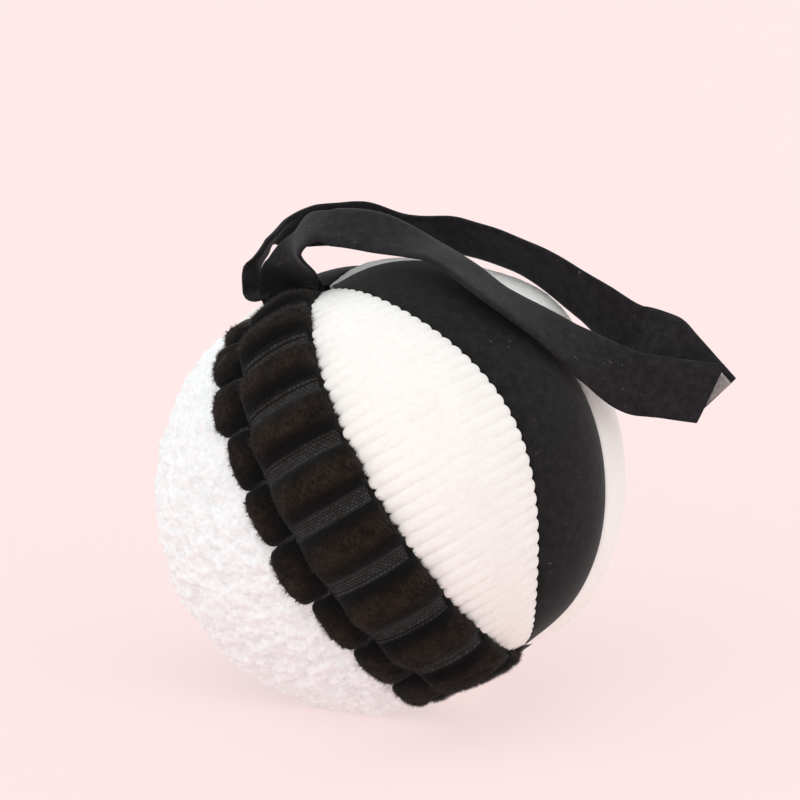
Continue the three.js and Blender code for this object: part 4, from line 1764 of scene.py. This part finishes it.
    def build(self, wardrobe: Wardrobe) -> None:
        """Makes every piece of the strap and sets it on the frame.

        Args:
            wardrobe: Materials.
        """
        self.build_sewn_end(wardrobe)
        for layer in Layer:
            self.build_layer(wardrobe, layer)
        self.build_tapes(wardrobe)

    def build_sewn_end(self, wardrobe: Wardrobe) -> None:
        """Makes the doubled end that is sewn into the slit.

        Args:
            wardrobe: Materials.
        """
        outs = np.linspace(self.sewn_lift - self.cloth_thickness, self.sewn_rise, 3)
        points = np.array([self.at_slit(out) for out in outs])
        across = np.tile(self.slit_along, (len(outs), 1))
        thickness = 2 * self.thickness + self.layer_gap
        band = Band(points, across, self.width, thickness, self.sewn_steps, wave=0, edge_wave=0)
        loops, cloth, _ = band.surface()
        piece = self.cloth_piece(wardrobe, "strap_sewn_fold", loops, cloth, STRAP_COTTON_PAINTED_LIT)
        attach(piece, BALL_BODY)
        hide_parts("strap_sewn_end")

    def build_layer(self, wardrobe: Wardrobe, layer: Layer) -> None:
        """Makes a layer's foot, which bends at the fold, and the strip that it runs on into.

        Args:
            wardrobe: Materials.
            layer: Layer to make.
        """
        side = layer.name.lower()
        rear = layer is Layer.REAR
        band = Band(*self.layer_path(layer), self.width, self.thickness, self.layer_steps)
        band.slant = 0.0 if rear else self.end_slant
        band.seed = self.layer_seed + layer.value
        loops, cloth, run = band.surface()
        # Painted shade: the foot darkens towards the slit and fades out along the layer.
        cloth[..., 2] = smooth_step(run, *self.fold_shade)[:, None]
        cut = int(np.searchsorted(run, self.foot_length))
        foot = self.cloth_piece(
            wardrobe, f"strap_{side}_foot", loops[: cut + 1], cloth[: cut + 1], STRAP_COTTON_PAINTED_LIT
        )
        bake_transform(foot)
        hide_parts(f"strap_stub_{side}")
        strip = self.cloth_piece(
            wardrobe, f"strap_{side}_strip", loops[cut:], cloth[cut:], STRAP_COTTON_PAINTED_LIT
        )
        if rear:
            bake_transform(strip)
        else:
            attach(strip, "strap_front")
        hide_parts(f"strap_{side}")

    def build_tapes(self, wardrobe: Wardrobe) -> None:
        """Makes the hook tape and the loop tape between the strips' ends.

        Args:
            wardrobe: Materials.
        """
        depth = (self.tape_thickness + self.tape_gap) / 2
        steps = np.array([-0.5, 0.0, 0.5]) * self.tape_length
        tapes = (
            (Layer.FRONT, "hook_tape", "strap_front", self.hook_shift, 0.0, 0.0),
            (Layer.REAR, "loop_tape", "strap_rear", self.loop_shift, self.loop_drop, self.loop_slant),
        )
        for layer, node, body, shift, drop, slant in tapes:
            points, across = self.flat_run(layer, depth, shift - steps)
            points = points + across * drop
            tape = Band(points, across, self.tape_width, self.tape_thickness, self.tape_steps)
            tape.wave, tape.edge_wave, tape.slant = self.tape_wave, self.tape_edge, slant
            loops, cloth, run = tape.surface()
            piece = self.cloth_piece(wardrobe, f"{node}_pile", loops, cloth, TAPE_PILE)
            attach(piece, body)
            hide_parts(node)


@dataclass
class Ball:
    """Ball of stuffed panels with its filling.

    Attributes:
        form: Form of the ball.
        seams: Seams in order round it.
        first_seed: Seed of the first panel, which the next ones count on from.
    """

    form: BallForm = BallForm()
    seams: tuple[Seam, ...] = (
        Seam(-26, SlitEnd.LEFT),
        Seam(-4, SlitEnd.RIGHT),
        Seam(35, SlitEnd.RIGHT, -17, -9),
        Seam(66, SlitEnd.RIGHT, 0, 37),
        Seam(128, SlitEnd.RIGHT, 30),
        Seam(166, SlitEnd.LEFT),
        Seam(208, SlitEnd.LEFT),
        Seam(250, SlitEnd.LEFT, 0, -22),
    )
    first_seed: int = 11

    def gore(self, number: int) -> Gore:
        """Gore after the seam of that number."""
        return Gore(self.seams[number], self.seams[(number + 1) % len(self.seams)])

    def panels(self) -> list[Panel]:
        """Panels of the ball, one for each gore.

        Returns:
            The panels in order round it.
        """
        fibres = Pile(count=16000, length=1.0 * MM, thickness=0.22 * MM, seed=51)
        ridged = {"columns": 76, "neighbour": self.gore(len(self.seams) - 1), "pile": fibres}
        front = {"rows": 620, "columns": 58, "second_edge": 0.45}
        kinds = (
            (RidgedPanel, "black_ridged_plush", RIDGED_PILE, ridged),
            (CorduroyPanel, "white_corduroy", CORDUROY_PILE, front),
            (Panel, "black_cotton", PANEL_COTTON, {}),
            (VelourPanel, "white_velour", VELOUR_PILE, {"rows": 230, "columns": 64, "swell": 1.35}),
            (Panel, "black_cotton_side", PANEL_COTTON, {}),
            (CorduroyPanel, "white_corduroy_rear", CORDUROY_PILE, {"rows": 560, "columns": 60}),
            (Panel, "black_cotton_base", PANEL_COTTON, {}),
            (TerryPanel, "white_terry", TERRY_PILE, {"rows": 310, "columns": 156, "swell": 0.05}),
        )
        panels = []
        for number, (kind, name, finish, sizes) in enumerate(kinds):
            seed = self.first_seed + number
            panels.append(kind(f"panel_{name}", self.gore(number), self.form, finish, seed, **sizes))
        return panels

    def build(self, wardrobe: Wardrobe) -> None:
        """Makes the filling and every panel.

        Args:
            wardrobe: Materials.
        """
        FillingWad(self.form).build(wardrobe)
        for panel in self.panels():
            panel.build(wardrobe)


@dataclass
class Studio:
    """Pale floor, soft light and the camera.

    Attributes:
        form: Form of the ball, whose centre the camera is set from.
        distance: Way from the camera to the ball's centre.
        elevation: Degrees that the camera looks down.
        lens: Focal length in millimetres.
        sensor: Width of the sensor in millimetres.
        centre_pixel: Pixel of the ball's centre in the image.
        image_side: Pixels along a side of the square image.
        floor_colour: Colour of the floor.
        floor_half: Half of the floor's side.
        floor_glow: Share of the floor's own light, which keeps its shadow faint.
        fill_colour: Colour of the light from all round.
        fill_light: Strength of that light.
        key_light: Watts on a square metre that faces the key light.
        key_angle: Degrees that the key light spreads over.
        key_way: Direction that it comes from.
    """

    form: BallForm
    distance: float = 0.797
    elevation: float = 12
    lens: float = 144
    sensor: float = 36
    centre_pixel: tuple[float, float] = (386.5, 487.5)
    image_side: float = 800
    floor_colour: str = "#fce7e6"
    floor_half: float = 20
    floor_glow: float = 0.75
    fill_colour: str = "#fcffff"
    fill_light: float = 0.97
    key_light: float = 0.55
    key_angle: float = 70
    key_way: Point = (-0.4, -0.7, 0.55)

    def build(self) -> None:
        """Makes the floor, the lights and the camera."""
        self.build_floor()
        self.build_world()
        self.build_key()
        self.build_camera()
        bpy.context.scene.view_settings.view_transform = "Standard"

    def build_floor(self) -> None:
        """Makes the floor just under the ball, of matt paper that glows a little."""
        corners = np.array([(-1, -1), (1, -1), (1, 1), (-1, 1)]) * self.floor_half
        mesh = bpy.data.meshes.new("floor")
        mesh.from_pydata([(x, y, 0.0) for x, y in corners], [], [(0, 1, 2, 3)])
        material = bpy.data.materials.new("pale paper floor")
        tree = empty_tree(material)
        colour = srgb(self.floor_colour)
        paper = add_node(tree, "ShaderNodeBsdfDiffuse", {"Color": colour, "Roughness": 1.0}).outputs[0]
        glow = add_node(tree, "ShaderNodeEmission", {"Color": colour, "Strength": 1.0}).outputs[0]
        both = add_node(tree, "ShaderNodeMixShader", {0: self.floor_glow, 1: paper, 2: glow}).outputs[0]
        add_node(tree, "ShaderNodeOutputMaterial", {"Surface": both})
        mesh.materials.append(material)
        floor = bpy.data.objects.new("floor", mesh)
        bpy.context.scene.collection.objects.link(floor)

    def build_world(self) -> None:
        """Lights the part evenly from all round, and shows the camera the floor's colour."""
        world = bpy.data.worlds.new("studio")
        tree = empty_tree(world)
        seen = add_node(tree, "ShaderNodeLightPath").outputs["Is Camera Ray"]
        light, shown = (
            add_node(tree, "ShaderNodeBackground", {0: srgb(colour), 1: strength}).outputs[0]
            for colour, strength in ((self.fill_colour, self.fill_light), (self.floor_colour, 1.0))
        )
        both = add_node(tree, "ShaderNodeMixShader", {0: seen, 1: light, 2: shown}).outputs[0]
        add_node(tree, "ShaderNodeOutputWorld", {"Surface": both})
        bpy.context.scene.world = world

    def build_key(self) -> None:
        """Adds one broad, soft light from above, in front and the left."""
        lamp = bpy.data.lights.new("softbox", "SUN")
        lamp.energy = self.key_light
        lamp.angle = math.radians(self.key_angle)
        softbox = bpy.data.objects.new("softbox", lamp)
        x, y, z = -unit(np.array(self.key_way))
        softbox.rotation_euler = (math.atan2(math.hypot(x, y), -z), 0.0, math.atan2(-x, y))
        bpy.context.scene.collection.objects.link(softbox)

    def build_camera(self) -> None:
        """Sets the camera in front, looking down at the ball's centre, shifted to its pixel."""
        data = bpy.data.cameras.new("camera")
        data.lens = self.lens
        data.sensor_width = self.sensor
        data.shift_x = (self.image_side / 2 - self.centre_pixel[0]) / self.image_side
        data.shift_y = (self.centre_pixel[1] - self.image_side / 2) / self.image_side
        camera = bpy.data.objects.new("camera", data)
        down = math.radians(self.elevation)
        height = self.form.centre_height + self.distance * math.sin(down)
        camera.location = (0, -self.distance * math.cos(down), height)
        camera.rotation_euler = (math.pi / 2 - down, 0, 0)
        bpy.context.scene.collection.objects.link(camera)
        bpy.context.scene.camera = camera


def main() -> None:
    """Builds the ball, the strap and the studio."""
    logging.basicConfig(level=logging.INFO)
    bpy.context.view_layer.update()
    wardrobe = Wardrobe()
    ball = Ball()
    ball.build(wardrobe)
    StrapLoop(ball.form, ball.gore(0)).build(wardrobe)
    Studio(ball.form).build()


if __name__ == "__main__":
    main()
